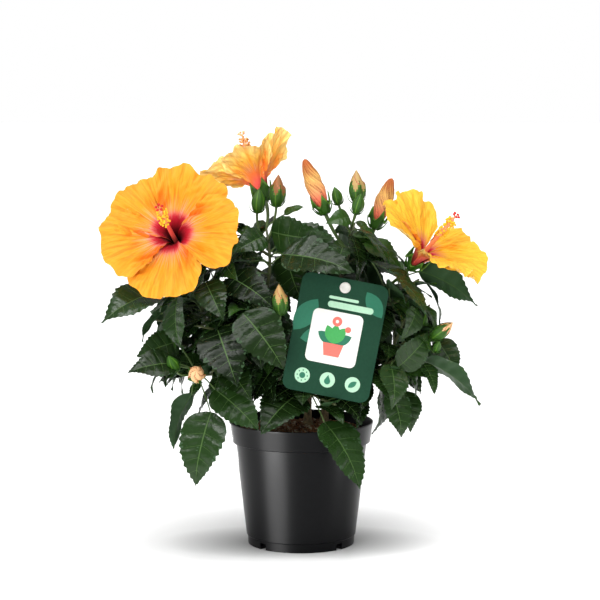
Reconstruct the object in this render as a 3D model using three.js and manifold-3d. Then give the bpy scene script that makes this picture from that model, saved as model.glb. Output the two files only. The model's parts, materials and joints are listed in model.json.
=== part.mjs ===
// A hibiscus shrub in flower, in its nursery pot, with a plain care card clipped to one branch.
// Millimetres, +Z up. The origin is the middle of the pot's underside, and -Y faces the viewer.
// Three stems rise from the potting mix, each carries a few boughs, and each bough ends in a leafy
// shoot. Leaves that shape the outline are posed one by one, and the rest follow a spiral rule.
import * as THREE from 'three';
import { mergeVertices } from 'three/addons/utils/BufferGeometryUtils.js';
import Module from 'manifold-3d';

const wasm = await Module();
wasm.setup();

// Gap between two solids that meet
const GAP = 0.35;
const CLEAR = 0.28;
const FACET_TOLERANCE = 0.03;

// Pot: a tapered plastic nursery pot with a rim band and a foot band
const POT_HEIGHT = 111;
const RIM_RADIUS = 65;
const RIM_BAND = 18;
const RIM_TAPER = 2.7;
const BODY_TOP_RADIUS = 59.2;
const BODY_FOOT_RADIUS = 49.3;
const FOOT_BAND = 8;
const FOOT_RADIUS = 48;
const POT_WALL = 1.3;
const POT_FLOOR = 1.8;
const POT_SIDES = 32;
const DRAIN_SLOTS = 4;
const DRAIN_SLOT_WIDTH = 7;
const DRAIN_SLOT_HEIGHT = 6;

// Potting mix: mounded a little towards the stems
const MIX_EDGE_BELOW_RIM = 9;
const MIX_MOUND = 6;

// Wood: radii of the limbs
const STEM_FOOT_RADIUS = 3.3;
const STEM_TOP_RADIUS = 2.7;
const ROOT_FLARE = 1.8;
const BOUGH_FOOT_RADIUS = 2.2;
const BOUGH_TIP_RADIUS = 1.7;
const SHOOT_TIP_RADIUS = 1.3;
const TWIG_RADIUS = 1.3;
const STALK_RADIUS = 1.2;
const PETIOLE_RADIUS = 0.7;
const FREE_FROM = 5;

// Leaves: shape as shares of the leaf's length
const LEAF_HALF_WIDTH = 0.34;
const LEAF_ARCH = 0.08;
const LEAF_FOLD = 0.14;
const LEAF_THICKNESS = 0.014;
const POSED_STATIONS = [0.12, 0.38, 0.7];
const SPIRAL_STATIONS = [0.22, 0.64];
const FACE_OUT = 0.75;
const FACE_UP = 0.65;

// Growth: twigs and leaves go round their shoot by the golden angle, inside a rounded crown
const GOLDEN_ANGLE = 137.508;
const TRIES = 20;
const TWIG_LENGTH = 44;
const CROWN_MIDDLE = [-5, 6, 190];
const CROWN_HALF = [137, 122, 104];
const CROWN_ROUNDNESS = 2.3;

// Blooms: five overlapping petals round a staminal column
const PETALS = 5;
const PETAL_LENGTH = 76;
const PETAL_SPREAD = 47;
const PETAL_LIFT = 1.5;
const PETAL_THICKNESS = 1.1;
const THROAT_RADIUS = 3;
const SEAT_RADIUS = 4.6;
const SEAT_DEPTH = 0.7;
const COLUMN_RADII = [2.1, 2, 1.9, 1.6, 4, 3.6, 1.5, 3.4];
const CALYX_HEIGHT = 14;
const CALYX_WALL = 1;

// Care card: a plastic card that hangs on a pin clipped round the middle bough
const CARD_WIDTH = 76;
const CARD_HEIGHT = 103;
const CARD_THICKNESS = 0.8;
const CARD_CORNER = 8;
const CARD_HOLE_BELOW_TOP = 8;
const CARD_HOLE_RADIUS = 2.5;
const CARD_ROLL = 11;
const CARD_LEAN = 9.5;
const CARD_HOLE_AT = [38, -61, 237];
const PIN_HEAD_RADIUS = 4.8;
const PIN_SHANK_RADIUS = 1.5;
const PIN_ALONG_BOUGH = 0.9;

const rad = THREE.MathUtils.degToRad;
const vec = (p) => new THREE.Vector3(...p);

function finish(color, roughness) {
  return new THREE.MeshStandardMaterial({ color, roughness, metalness: 0 });
}

const materials = {
  pot: finish(0x17181a, 0.38),
  mix: finish(0x4a2c1c, 0.95),
  bark: finish(0x5b4a35, 0.85),
  leaf: finish(0x1d4522, 0.42),
  petal: finish(0xf9a825, 0.6),
  bud: finish(0xe58a3c, 0.6),
  card: finish(0x23492f, 0.5),
  pin: finish(0xdedad2, 0.45),
};

// Stems: each from its foot in the potting mix to its fork
const STEMS = {
  left: { foot: [-14, 10], fork: [-30, 8, 162] },
  middle: { foot: [6, -3], fork: [9, -8, 158] },
  right: { foot: [21, 12], fork: [38, 10, 160] },
};

// Shoots: the stem and how far up it the bough leaves, the bough's tip, and the leafy shoot's tip.
// posed: leaves that make the outline, each from where its blade begins to its tip, and its roll.
// spiral: further leaves dealt out round the shoot, with the first one's turn and the longest blade.
const SHOOTS = [
  {
    name: 'left_low', stem: 'left', at: 0.62, bough: [-64, -38, 157], tip: [-92, -66, 166],
    posed: [
      [[-77, -88, 133], [-91, -101, 71], -22],
      [[-74, -86, 152], [-36, -100, 119], -20],
      [[-94, -76, 147], [-110, -88, 101], 62],
      [[-88, -86, 154], [-96, -96, 134], 0],
      [[-108, -66, 174], [-147, -84, 169], -30],
      [[-108, -44, 188], [-143, -60, 177], -62],
      [[-120, -52, 166], [-131, -64, 145], 20],
    ],
    buds: [
      { at: 0.9, foot: [-107, -68, 168], tip: [-113, -78, 182] },
      { at: 1, foot: [-90, -86, 163], tip: [-88, -107, 171] },
    ],
    spiral: { count: 9, turn: 150, length: 58, twigs: 2 },
  },
  {
    name: 'left', stem: 'left', at: 0.85, bough: [-76, -32, 194], tip: [-94, -22, 232],
    posed: [
      [[-122, -64, 234], [-170, -92, 211], -28],
      [[-122, -48, 214], [-139, -58, 190], 35],
      [[-106, -72, 230], [-102, -92, 185], 10],
      [[-82, -72, 243], [-66, -98, 213], -20],
    ],
    spiral: { count: 9, turn: 200, length: 62, twigs: 2 },
  },
  {
    name: 'upper_left', stem: 'left', at: 1, bough: [-31, -20, 232], tip: [-31, -14, 286],
    posed: [
      [[-32, -36, 280], [-58, -58, 268], -50],
      [[-26, -38, 284], [28, -58, 279], 58],
      [[-15, -8, 297], [3, -6, 304], 20],
      [[-62, -56, 246], [-24, -82, 223], -12],
      [[-46, -44, 258], [-66, -58, 256], 15],
      [[-16, -48, 266], [45, -68, 253], -8],
    ],
    buds: [
      { at: 0.85, foot: [-22, -10, 304], tip: [-20, -10, 333] },
      { at: 0.7, foot: [-39, -15, 299], tip: [-37, -15, 321] },
    ],
    spiral: { count: 9, turn: 80, length: 56, twigs: 2 },
  },
  {
    name: 'front_left', stem: 'left', at: 0.74, bough: [-38, -48, 184], tip: [-48, -66, 208],
    posed: [
      [[-72, -80, 204], [-54, -116, 160], -20],
      [[-50, -62, 218], [-14, -76, 171], -18],
    ],
    buds: [{ at: 0.8, foot: [-18, -76, 215], tip: [-19, -79, 242] }],
    spiral: { count: 11, turn: 20, length: 62, twigs: 2 },
  },
  {
    name: 'left_side', stem: 'left', at: 0.5, bough: [-74, 12, 162], tip: [-98, 16, 184],
    spiral: { count: 14, turn: 0, length: 66, twigs: 3 },
  },
  {
    name: 'left_back', stem: 'left', at: 0.93, bough: [-58, 42, 184], tip: [-80, 62, 212],
    spiral: { count: 16, turn: 60, length: 70, twigs: 4 },
  },
  {
    name: 'middle', stem: 'middle', at: 1, bough: [36, -34, 246], tip: [44, -27, 292],
    posed: [
      [[47, -58, 288], [76, -76, 259], -25],
      [[42, -52, 297], [22, -66, 293], -10],
    ],
    buds: [
      { at: 0.95, foot: [49, -35, 308], tip: [48, -35, 338] },
      { at: 0.9, foot: [47, -46, 300], tip: [52, -50, 318] },
      { at: 0.8, foot: [33, -30, 307], tip: [29, -32, 323] },
    ],
    spiral: { count: 9, turn: 310, length: 56, twigs: 2 },
  },
  {
    name: 'front_low', stem: 'middle', at: 0.6, bough: [4, -36, 143], tip: [5, -54, 153],
    posed: [
      [[20, -70, 121], [51, -90, 67], -18],
      [[-4, -52, 142], [-34, -96, 117], 0],
      [[4, -54, 165], [12, -68, 138], 0],
      [[-18, -52, 172], [-42, -66, 138], 8],
    ],
    spiral: { count: 7, turn: 250, length: 54, twigs: 1 },
  },
  {
    name: 'centre_left', stem: 'middle', at: 0.42, bough: [-16, -24, 142], tip: [-36, -34, 164],
    spiral: { count: 10, turn: 0, length: 60, twigs: 2 },
  },
  {
    name: 'centre_right', stem: 'right', at: 0.3, bough: [40, -22, 140], tip: [44, -30, 166],
    spiral: { count: 10, turn: 90, length: 58, twigs: 2 },
  },
  {
    name: 'back_low', stem: 'middle', at: 0.8, bough: [4, 50, 154], tip: [0, 76, 172],
    spiral: { count: 16, turn: 30, length: 70, twigs: 4 },
  },
  {
    name: 'right_low', stem: 'right', at: 0.62, bough: [62, -36, 158], tip: [82, -54, 174],
    posed: [
      [[84, -62, 168], [112, -52, 197], 20],
      [[77, -74, 172], [79, -93, 137], 5],
      [[70, -50, 151], [63, -64, 109], -30],
      [[79, -46, 145], [88, -56, 105], 25],
      [[92, -28, 142], [97, -38, 107], 40],
    ],
    spiral: { count: 9, turn: 100, length: 60, twigs: 2 },
  },
  {
    name: 'right', stem: 'right', at: 0.8, bough: [86, -32, 182], tip: [112, -42, 188],
    posed: [
      [[106, -62, 170], [117, -76, 145], 15],
      [[108, -44, 170], [157, -62, 134], -35],
      [[120, -33, 187], [138, -42, 157], 55],
      [[100, -56, 219], [87, -70, 193], -10],
      [[103, -70, 172], [91, -80, 175], -20],
    ],
    buds: [
      { at: 0.9, foot: [114, -46, 191], tip: [132, -53, 206] },
      { at: 1, foot: [117, -50, 180], tip: [120, -56, 190] },
      { at: 0.6, foot: [107, -40, 202], tip: [109, -42, 212] },
    ],
    spiral: { count: 9, turn: 220, length: 60, twigs: 2 },
  },
  {
    name: 'upper_right', stem: 'right', at: 1, bough: [62, -14, 212], tip: [76, -16, 234],
    posed: [
      [[60, -66, 260], [107, -92, 219], -22],
      [[104, -38, 248], [155, -56, 219], -40],
    ],
    spiral: { count: 9, turn: 130, length: 54, twigs: 2 },
  },
  {
    name: 'right_side', stem: 'right', at: 0.5, bough: [80, 14, 164], tip: [100, 20, 184],
    spiral: { count: 12, turn: 40, length: 56, twigs: 3 },
  },
  {
    name: 'right_back', stem: 'right', at: 0.72, bough: [64, 44, 184], tip: [84, 62, 208],
    spiral: { count: 16, turn: 100, length: 70, twigs: 4 },
  },
  {
    name: 'back', stem: 'right', at: 0.9, bough: [20, 44, 206], tip: [14, 56, 238],
    spiral: { count: 16, turn: 10, length: 68, twigs: 4 },
  },
];

// Blooms and the tall buds: the shoot that each stalk leaves, where the petals leave the calyx, which
// way it looks. flare is how far the petals open from the axis, bends is each petal's own share of it,
// turn is the first one's bearing, shifts moves each one round from an even spacing, and rounding is how
// far a petal's corners are cut back.
const BLOOMS = [
  {
    name: 'bloom_left', shoot: 'left', at: 1, base: [-107, -46, 273], axis: [-0.17, -0.87, 0.47],
    size: 1, flare: 79, bends: [0, 3, -3, 2, -2], turn: 41, shifts: [20, 22, 2, 0, 22], rounding: 0.25,
    column: 70,
  },
  {
    name: 'bloom_top', shoot: 'upper_left', at: 1, base: [-33, 4, 312], axis: [-0.31, 0.46, 0.83],
    size: 0.84, flare: 64, bends: [2, 10, -16, -38, -36], turn: 190, shifts: [0, 0, 0, -14, 4],
    rounding: 0.42, column: 84,
  },
  {
    name: 'bloom_right', shoot: 'upper_right', at: 1, base: [97, -33, 254], axis: [0.56, -0.47, 0.68],
    size: 0.93, flare: 70, bends: [-8, 8, -2, 0, -14], turn: -17, shifts: [10, -19, 6, -16, 19],
    rounding: 0.4, column: 70,
  },
];
const TALL_BUDS = [
  {
    name: 'tall_bud_middle', shoot: 'middle', at: 0.45, base: [20, -40, 303], axis: [-0.36, -0.1, 0.93],
    length: 48,
  },
  {
    name: 'tall_bud_right', shoot: 'middle', at: 0.55, base: [66, -8, 288], axis: [0.33, 0, 0.94],
    length: 44,
  },
];

// A repeatable value from 0 to 1 for up to three whole numbers.
function chance(a, b = 0, c = 0) {
  const s = Math.sin(a * 12.9898 + b * 78.233 + c * 37.719 + 1.618) * 43758.5453;
  return s - Math.floor(s);
}

// The solid that a closed geometry encloses.
function solidOf(geometry) {
  const bare = geometry.index ? geometry.toNonIndexed() : geometry.clone();
  bare.deleteAttribute('normal');
  bare.deleteAttribute('uv');
  const merged = mergeVertices(bare, 1e-4);
  return new wasm.Manifold(new wasm.Mesh({
    numProp: 3,
    vertProperties: merged.attributes.position.array,
    triVerts: new Uint32Array(merged.index.array),
  }));
}

// A named mesh of a solid.
function meshOf(name, solid, material) {
  const { vertProperties, triVerts, numProp } = solid.getMesh();
  const position = new Float32Array((vertProperties.length / numProp) * 3);
  for (let i = 0; i * numProp < vertProperties.length; i += 1) {
    position.set(vertProperties.subarray(i * numProp, i * numProp + 3), i * 3);
  }
  const geometry = new THREE.BufferGeometry();
  geometry.setAttribute('position', new THREE.BufferAttribute(position, 3));
  geometry.setIndex(new THREE.BufferAttribute(triVerts, 1));
  const mesh = new THREE.Mesh(geometry, material);
  mesh.name = name;
  return mesh;
}

// The solids as one, with faces that lie in one plane made whole again.
function joined(solids) {
  return solids.reduce((sum, solid) => sum.add(solid)).asOriginal().simplify(FACET_TOLERANCE);
}

// A closed tapering limb along a curve. radiusAt gives its radius from 0, the foot, to 1, the tip.
function limb(path, radiusAt, sides, steps) {
  const geometry = new THREE.CylinderGeometry(1, 1, 1, sides, steps);
  const { position } = geometry.attributes;
  const along = path.getPoint(1).sub(path.getPoint(0)).normalize();
  const aside = vec(Math.abs(along.x) < 0.7 ? [1, 0, 0] : [0, 1, 0]);
  for (let i = 0; i < position.count; i += 1) {
    const t = position.getY(i) + 0.5;
    const tangent = path.getTangent(t);
    const across = aside.clone().addScaledVector(tangent, -aside.dot(tangent)).normalize();
    const third = across.clone().cross(tangent);
    const r = radiusAt(t);
    const point = path.getPoint(t)
      .addScaledVector(across, position.getX(i) * r)
      .addScaledVector(third, position.getZ(i) * r);
    position.setXYZ(i, point.x, point.y, point.z);
  }
  return solidOf(geometry);
}

function taper(foot, tip) {
  return (t) => foot + (tip - foot) * t;
}

// A straight stick from a to b.
function stick(a, b, footRadius, tipRadius, sides = 3) {
  return limb(new THREE.LineCurve3(a, b), taper(footRadius, tipRadius), sides, 1);
}

// Half the width of a leaf blade, as a share of the widest, at t from its base to its tip.
function bladeOutline(t) {
  return (Math.sqrt(t) * (1 - t) ** 1.1) / 0.37;
}

// The blade's own axes: along it, out of its upper face, and across it.
function bladeAxes(base, tip, roll) {
  const along = tip.clone().sub(base).normalize();
  const facing = vec([base.x, base.y, 0]).normalize().multiplyScalar(FACE_OUT).add(vec([0, 0, FACE_UP]));
  const normal = facing.addScaledVector(along, -facing.dot(along)).normalize();
  normal.applyAxisAngle(along, rad(roll));
  return { along, normal, across: normal.clone().cross(along) };
}

// A three-sided loft from ring to ring, closed by a flat foot and a pointed tip.
function loft(rings, tip) {
  const last = 3 * (rings.length - 1);
  const index = [0, 1, 2];
  for (let i = 0; i < 3; i += 1) {
    const next = (i + 1) % 3;
    for (let ring = 0; ring < last; ring += 3) {
      index.push(ring + next, ring + i, ring + 3 + i, ring + next, ring + 3 + i, ring + 3 + next);
    }
    index.push(last + next, last + i, last + 3);
  }
  const geometry = new THREE.BufferGeometry().setFromPoints([...rings.flat(), tip]);
  geometry.setIndex(index);
  return solidOf(geometry);
}

// One leaf: margins sharp, arched along its length, folded along its midrib, on a petiole from a point.
// whole is the leaf with its petiole, and blade and petiole are the two alone.
function leaf({ from, base, tip, roll, at }) {
  const length = base.distanceTo(tip);
  const { along, normal, across } = bladeAxes(base, tip, roll);
  const ring = (centre, side, up, halfWidth, rise, depth) => [
    centre.clone().addScaledVector(side, -halfWidth).addScaledVector(up, rise),
    centre.clone().addScaledVector(side, halfWidth).addScaledVector(up, rise),
    centre.clone().addScaledVector(up, -depth),
  ];
  const way = base.clone().sub(from).normalize();
  const side = across.clone().addScaledVector(way, -across.dot(way)).normalize();
  const up = way.clone().cross(side);
  const r = PETIOLE_RADIUS;
  const foot = ring(from, side, up, 0.6 * r, 0.3 * r, 0.6 * r);
  const neck = ring(base, side, up, r, r / 2, r);
  const stations = at.map((t) => {
    const halfWidth = LEAF_HALF_WIDTH * length * bladeOutline(t);
    const centre = base.clone().addScaledVector(along, length * t)
      .addScaledVector(normal, LEAF_ARCH * length * 4 * t * (1 - t));
    return ring(centre, across, normal, halfWidth, halfWidth * LEAF_FOLD, LEAF_THICKNESS * length);
  });
  return {
    whole: loft([foot, neck, ...stations], tip),
    blade: loft([neck, ...stations], tip),
    petiole: stick(from.clone().addScaledVector(way, FREE_FROM), base.clone().addScaledVector(way, -1), r, r),
    twisted: way.dot(along) < -0.5 || side.dot(across) < 0.3,
  };
}

// A thin closed sheet between the two sides of a surface: pointAt(u, v, side), with u and v from 0 to 1
// and side 1 or -1.
function sheet(pointAt, alongSteps, acrossSteps) {
  const points = [];
  const index = [];
  const row = acrossSteps + 1;
  const layer = row * (alongSteps + 1);
  [1, -1].forEach((side) => {
    for (let i = 0; i <= alongSteps; i += 1) {
      for (let j = 0; j <= acrossSteps; j += 1) {
        points.push(pointAt(i / alongSteps, j / acrossSteps, side));
      }
    }
  });
  const quad = (a, b, c, d) => index.push(a, b, c, a, c, d);
  for (let i = 0; i < alongSteps; i += 1) {
    for (let j = 0; j < acrossSteps; j += 1) {
      const a = i * row + j;
      quad(a, a + row, a + row + 1, a + 1);
      quad(layer + a, layer + a + 1, layer + a + row + 1, layer + a + row);
    }
  }
  for (let j = 0; j < acrossSteps; j += 1) {
    const top = alongSteps * row + j;
    quad(j, j + 1, layer + j + 1, layer + j);
    quad(top, layer + top, layer + top + 1, top + 1);
  }
  for (let i = 0; i < alongSteps; i += 1) {
    const left = i * row;
    const right = left + acrossSteps;
    quad(left, layer + left, layer + left + row, left + row);
    quad(right, right + row, layer + right + row, layer + right);
  }
  const geometry = new THREE.BufferGeometry().setFromPoints(points);
  geometry.setIndex(index);
  return solidOf(geometry);
}

// The line of a petal from the throat to its margin, as radius and height from the flower's axis.
function petalLine(flare, length) {
  const STEPS = 40;
  const line = [{ r: THROAT_RADIUS, h: 0, lean: 0 }];
  const smooth = THREE.MathUtils.smoothstep;
  for (let i = 1; i <= STEPS; i += 1) {
    const s = i / STEPS;
    const lean = rad(12 + (flare - 12) * smooth(s, 0.12, 0.5) + 18 * smooth(s, 0.72, 1));
    const before = line[i - 1];
    const step = length / STEPS;
    line.push({ r: before.r + step * Math.sin(lean), h: before.h + step * Math.cos(lean), lean });
  }
  return (s) => {
    const x = Math.min(Math.max(s, 0), 1) * STEPS;
    const i = Math.min(Math.floor(x), STEPS - 1);
    const [a, b] = [line[i], line[i + 1]];
    const mix = (key) => a[key] + (b[key] - a[key]) * (x - i);
    return { r: mix('r'), h: mix('h'), lean: mix('lean') };
  };
}

// A flower's petals and column, opening along +Z from its base at the origin.
function corolla({ flare, bends, shifts, turn, size, rounding, column }, seed) {
  const petals = [];
  for (let k = 0; k < PETALS; k += 1) {
    const lineAt = petalLine(flare + bends[k], PETAL_LENGTH * size);
    petals.push(sheet((u, v, side) => {
      const w = 2 * v - 1;
      const { r, h, lean } = lineAt(u * (1 - rounding * Math.abs(w) ** 3));
      const bearing = rad(turn + 72 * k + shifts[k] + w * PETAL_SPREAD);
      const ruffle = u ** 3 * (3 * Math.sin(11 * bearing + seed) + 1.8 * Math.sin(4 * bearing + 2 * seed));
      const off = PETAL_LIFT * w + ruffle + (side * PETAL_THICKNESS) / 2;
      const radius = r - off * Math.cos(lean);
      return vec([radius * Math.cos(bearing), radius * Math.sin(bearing), h + off * Math.sin(lean)]);
    }, 4, 4));
  }
  const height = column * size;
  const ends = [[0, 0, 0], [0, 0, height * 0.6], [0, 4, height]].map(vec);
  const rise = new THREE.QuadraticBezierCurve3(...ends);
  const last = COLUMN_RADII.length - 1;
  const stalk = limb(rise, (t) => COLUMN_RADII[Math.round(t * last)], 5, last);
  const seat = solidOf(new THREE.CylinderGeometry(SEAT_RADIUS, SEAT_RADIUS - 0.6, 2.4 + SEAT_DEPTH, 8)
    .rotateX(Math.PI / 2).translate(0, 0, (2.4 - SEAT_DEPTH) / 2));
  return joined([...petals, seat, stalk]);
}

// A calyx cup with five points, opening along +Z from a foot below the origin, and hollow for the petals.
function calyx(mouthRadius, height) {
  const SIDES = 2 * PETALS;
  const seatRadius = SEAT_RADIUS + GAP + 0.7;
  const profile = [
    [0, -4.4], [3.2, -4], [seatRadius + CALYX_WALL, -0.8], [mouthRadius + CALYX_WALL, height],
    [mouthRadius, height], [seatRadius, -GAP - SEAT_DEPTH], [0, -GAP - SEAT_DEPTH],
  ];
  const cup = new THREE.LatheGeometry(profile.map(([x, y]) => new THREE.Vector2(x, y)), SIDES);
  const { position } = cup.attributes;
  for (let i = 0; i < position.count; i += 1) {
    const turn = Math.round((Math.atan2(position.getX(i), position.getZ(i)) / (2 * Math.PI)) * SIDES);
    if (position.getY(i) > height * 0.8 && turn % 2 !== 0) position.setY(i, height * 0.8);
  }
  return solidOf(cup.rotateX(Math.PI / 2));
}

// A spindle from the origin up +Z, such as a closed bud.
function spindle(length, radius, sides) {
  const profile = [[0, 0], [0.6, 0.06], [1, 0.34], [0.74, 0.7], [0, 1]];
  const line = profile.map(([x, y]) => new THREE.Vector2(x * radius, y * length));
  return solidOf(new THREE.LatheGeometry(line, sides).rotateX(Math.PI / 2));
}

// The turn that takes +Z to a direction.
function aimed(axis) {
  return new THREE.Quaternion().setFromUnitVectors(vec([0, 0, 1]), axis);
}

function placed(solid, at, quaternion) {
  return solid.transform(new THREE.Matrix4().compose(at, quaternion, vec([1, 1, 1])).toArray());
}

// What is already grown, so that a new twig or leaf can be kept clear of it.
const grown = [];

function boxesMeet(a, b) {
  return [0, 1, 2].every((i) => a.min[i] - GAP < b.max[i] && b.min[i] - GAP < a.max[i]);
}

function isClear(solid, owner = null) {
  const box = solid.boundingBox();
  return grown.every((other) => other.owner === owner && owner !== null
    ? true
    : !boxesMeet(box, other.box) || solid.minGap(other.solid, 1) >= CLEAR);
}

function keep(solid, owner) {
  grown.push({ solid, owner, box: solid.boundingBox() });
  return solid;
}

// Pot with a rim band, a foot band and drain slots through its bottom edge.
function makePot() {
  const bandFoot = POT_HEIGHT - RIM_BAND;
  const profile = [
    [0, 0], [FOOT_RADIUS, 0], [FOOT_RADIUS + 0.4, FOOT_BAND], [BODY_FOOT_RADIUS, FOOT_BAND + 0.6],
    [BODY_TOP_RADIUS, bandFoot - 0.6], [RIM_RADIUS - RIM_TAPER, bandFoot], [RIM_RADIUS, POT_HEIGHT],
    [RIM_RADIUS - POT_WALL, POT_HEIGHT], [RIM_RADIUS - RIM_TAPER - POT_WALL, bandFoot + 1.4],
    [BODY_TOP_RADIUS - POT_WALL, bandFoot - 1], [FOOT_RADIUS - POT_WALL, POT_FLOOR], [0, POT_FLOOR],
  ];
  const line = profile.map(([x, y]) => new THREE.Vector2(x, y));
  let pot = solidOf(new THREE.LatheGeometry(line, POT_SIDES).rotateX(Math.PI / 2));
  for (let k = 0; k < DRAIN_SLOTS; k += 1) {
    const bearing = ((k + 0.5) * 2 * Math.PI) / DRAIN_SLOTS;
    const slot = new THREE.BoxGeometry(14, DRAIN_SLOT_WIDTH, 2 * DRAIN_SLOT_HEIGHT)
      .translate(FOOT_RADIUS, 0, 0).rotateZ(bearing);
    pot = pot.subtract(solidOf(slot));
  }
  return pot;
}

// Potting mix up to a little below the rim.
function makeMix() {
  const clear = POT_WALL + GAP + 0.2;
  const top = POT_HEIGHT - MIX_EDGE_BELOW_RIM;
  const bandFoot = POT_HEIGHT - RIM_BAND;
  const profile = [
    [0, POT_FLOOR + GAP], [FOOT_RADIUS - clear, POT_FLOOR + GAP], [BODY_TOP_RADIUS - clear, bandFoot - 1],
    [BODY_TOP_RADIUS - clear, top], [35, top + MIX_MOUND * 0.5], [0, top + MIX_MOUND],
  ];
  const line = profile.map(([x, y]) => new THREE.Vector2(x, y));
  return solidOf(new THREE.LatheGeometry(line, POT_SIDES).rotateX(Math.PI / 2));
}

// A stem's line from the top of the mix to its fork, bending outwards as it rises.
function stemLine({ foot, fork }) {
  const reach = foot[0] ** 2 + foot[1] ** 2;
  const ground = POT_HEIGHT - MIX_EDGE_BELOW_RIM + MIX_MOUND * (1 - 0.1 * (reach / 400)) + GAP + 0.2;
  const low = vec([...foot, ground]);
  const high = vec(fork);
  return new THREE.QuadraticBezierCurve3(low, vec([foot[0], foot[1], (low.z + high.z) / 2]), high);
}

function stemRadius(t) {
  return taper(STEM_FOOT_RADIUS, STEM_TOP_RADIUS)(t) + ROOT_FLARE * Math.exp(-12 * t);
}

// A bough's line: it leaves its stem outwards and curves up to its tip.
function boughLine(shoot) {
  const path = stemLine(STEMS[shoot.stem]);
  const start = path.getPoint(shoot.at);
  if (shoot.at === 1) start.addScaledVector(path.getTangent(1), GAP);
  const end = vec(shoot.bough);
  const bend = start.clone().lerp(end, 0.6);
  bend.z = start.z + (end.z - start.z) * 0.35;
  if (shoot.at === 1) bend.copy(start).addScaledVector(path.getTangent(1), 0.4 * start.distanceTo(end));
  return new THREE.QuadraticBezierCurve3(start, bend, end);
}

// The leafy shoot's line, which carries straight on from its bough.
function shootLine(shoot) {
  const way = boughLine(shoot).getTangent(1);
  const start = vec(shoot.bough).addScaledVector(way, GAP);
  const end = vec(shoot.tip);
  const bend = start.clone().addScaledVector(way, 0.45 * start.distanceTo(end));
  return new THREE.QuadraticBezierCurve3(start, bend, end);
}

// A stalk's line from a point on a shoot to the foot of a flower or bud that looks along axis.
function stalkLine(from, foot, axis) {
  const bend = foot.clone().addScaledVector(axis, -0.5 * from.distanceTo(foot));
  return new THREE.QuadraticBezierCurve3(from, bend, foot);
}

// The point of a line nearest to a place, at one of its tenths.
function nearestOn(line, place) {
  const tenths = Array.from({ length: 10 }, (_, i) => line.getPoint((i + 1) / 10));
  const nearer = (a, b) => (b.distanceTo(place) < a.distanceTo(place) ? b : a);
  return tenths.reduce(nearer);
}

// A direction out of a line at t: turned round it by a bearing, and leaning on along it and upwards.
function outOf(line, t, bearing, onward, upward) {
  const way = line.getTangent(t);
  const aside = vec([0, 0, 1]).cross(way).normalize();
  const third = way.clone().cross(aside);
  const radial = aside.multiplyScalar(Math.cos(rad(bearing))).addScaledVector(third, Math.sin(rad(bearing)));
  return radial.multiplyScalar(0.85).addScaledVector(way, onward).add(vec([0, 0, upward])).normalize();
}

function outwards(place, share) {
  return vec([place.x, place.y, 0]).normalize().multiplyScalar(share);
}

// One try at side twig j of a shoot.
function twigLine(shoot, line, seed, j, attempt) {
  const { twigs, turn } = shoot.spiral;
  const t = 0.12 + (0.7 * (j + 0.4)) / twigs;
  const from = line.getPoint(t);
  const way = outOf(line, t, turn + 60 + GOLDEN_ANGLE * j + 40 * attempt, 0.3, 0.15)
    .add(outwards(from, 0.3)).normalize();
  const length = TWIG_LENGTH * (0.8 + 0.4 * chance(seed, j, attempt + 50));
  const end = from.clone().addScaledVector(way, length).add(vec([0, 0, 0.12 * length]));
  return new THREE.QuadraticBezierCurve3(from, from.clone().addScaledVector(way, 0.5 * length), end);
}

// One try at leaf k, on one of its mass's lines: where its petiole and blade begin, and where it ends.
function spiralLeaf(mass, k, attempt) {
  const { lines, seed } = mass;
  const { count, turn, length } = mass.shoot.spiral;
  const line = lines[k % lines.length];
  const places = Math.ceil(count / lines.length);
  const t = 0.28 + (0.7 * (Math.floor(k / lines.length) + 0.4 + 0.6 * chance(seed, k, 3))) / places;
  const from = line.getPoint(t);
  const size = length * (1.04 - 0.25 * t - 0.018 * attempt) * (0.86 + 0.28 * chance(seed, k, attempt));
  const lift = outOf(line, t, turn + GOLDEN_ANGLE * k + 47 * attempt, 0.4, 0.3);
  const base = from.clone().addScaledVector(lift, size * (0.22 + 0.22 * chance(seed, k, attempt + 20)));
  const dip = rad(12 + 60 * chance(seed, k, attempt + 40));
  const flat = vec([lift.x, lift.y, 0]).add(outwards(from, 0.5)).normalize();
  const fall = flat.multiplyScalar(Math.cos(dip)).add(vec([0, 0, -Math.sin(dip)]));
  const roll = 36 * (chance(seed, k, attempt + 60) - 0.5);
  return { from, base, tip: base.clone().addScaledVector(fall, size), roll, at: SPIRAL_STATIONS };
}

// A posed leaf, moved a little nearer or farther at each further try.
function posedLeaf(mass, [base, tip, roll], attempt) {
  const shift = vec([0, (attempt % 2 === 0 ? 4 : -4) * Math.ceil(attempt / 2), 0]);
  const from = nearestOn(mass.lines[0], vec(base));
  return { from, base: vec(base).add(shift), tip: vec(tip).add(shift), roll, at: POSED_STATIONS };
}

function inCrown(place) {
  const shares = place.toArray().map((v, i) => Math.abs((v - CROWN_MIDDLE[i]) / CROWN_HALF[i]));
  return shares.reduce((sum, share) => sum + share ** CROWN_ROUNDNESS, 0) < 1;
}

const plant = new THREE.Group();
const container = new THREE.Group();
const label = new THREE.Group();

const pot = makePot();
const mix = makeMix();
container.add(meshOf('pot', pot, materials.pot), meshOf('potting_mix', mix, materials.mix));
keep(pot, 'pot');
keep(mix, 'potting_mix');

// Stems, and their thicker copies that leave room at each bough's foot
const stemRoom = {};
Object.entries(STEMS).forEach(([name, stem]) => {
  const path = stemLine(stem);
  stemRoom[name] = limb(path, (t) => stemRadius(t) + GAP, 8, 6);
  const solid = keep(limb(path, stemRadius, 8, 6), `stem_${name}`);
  plant.add(meshOf(`stem_${name}`, solid, materials.bark));
});

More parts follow.
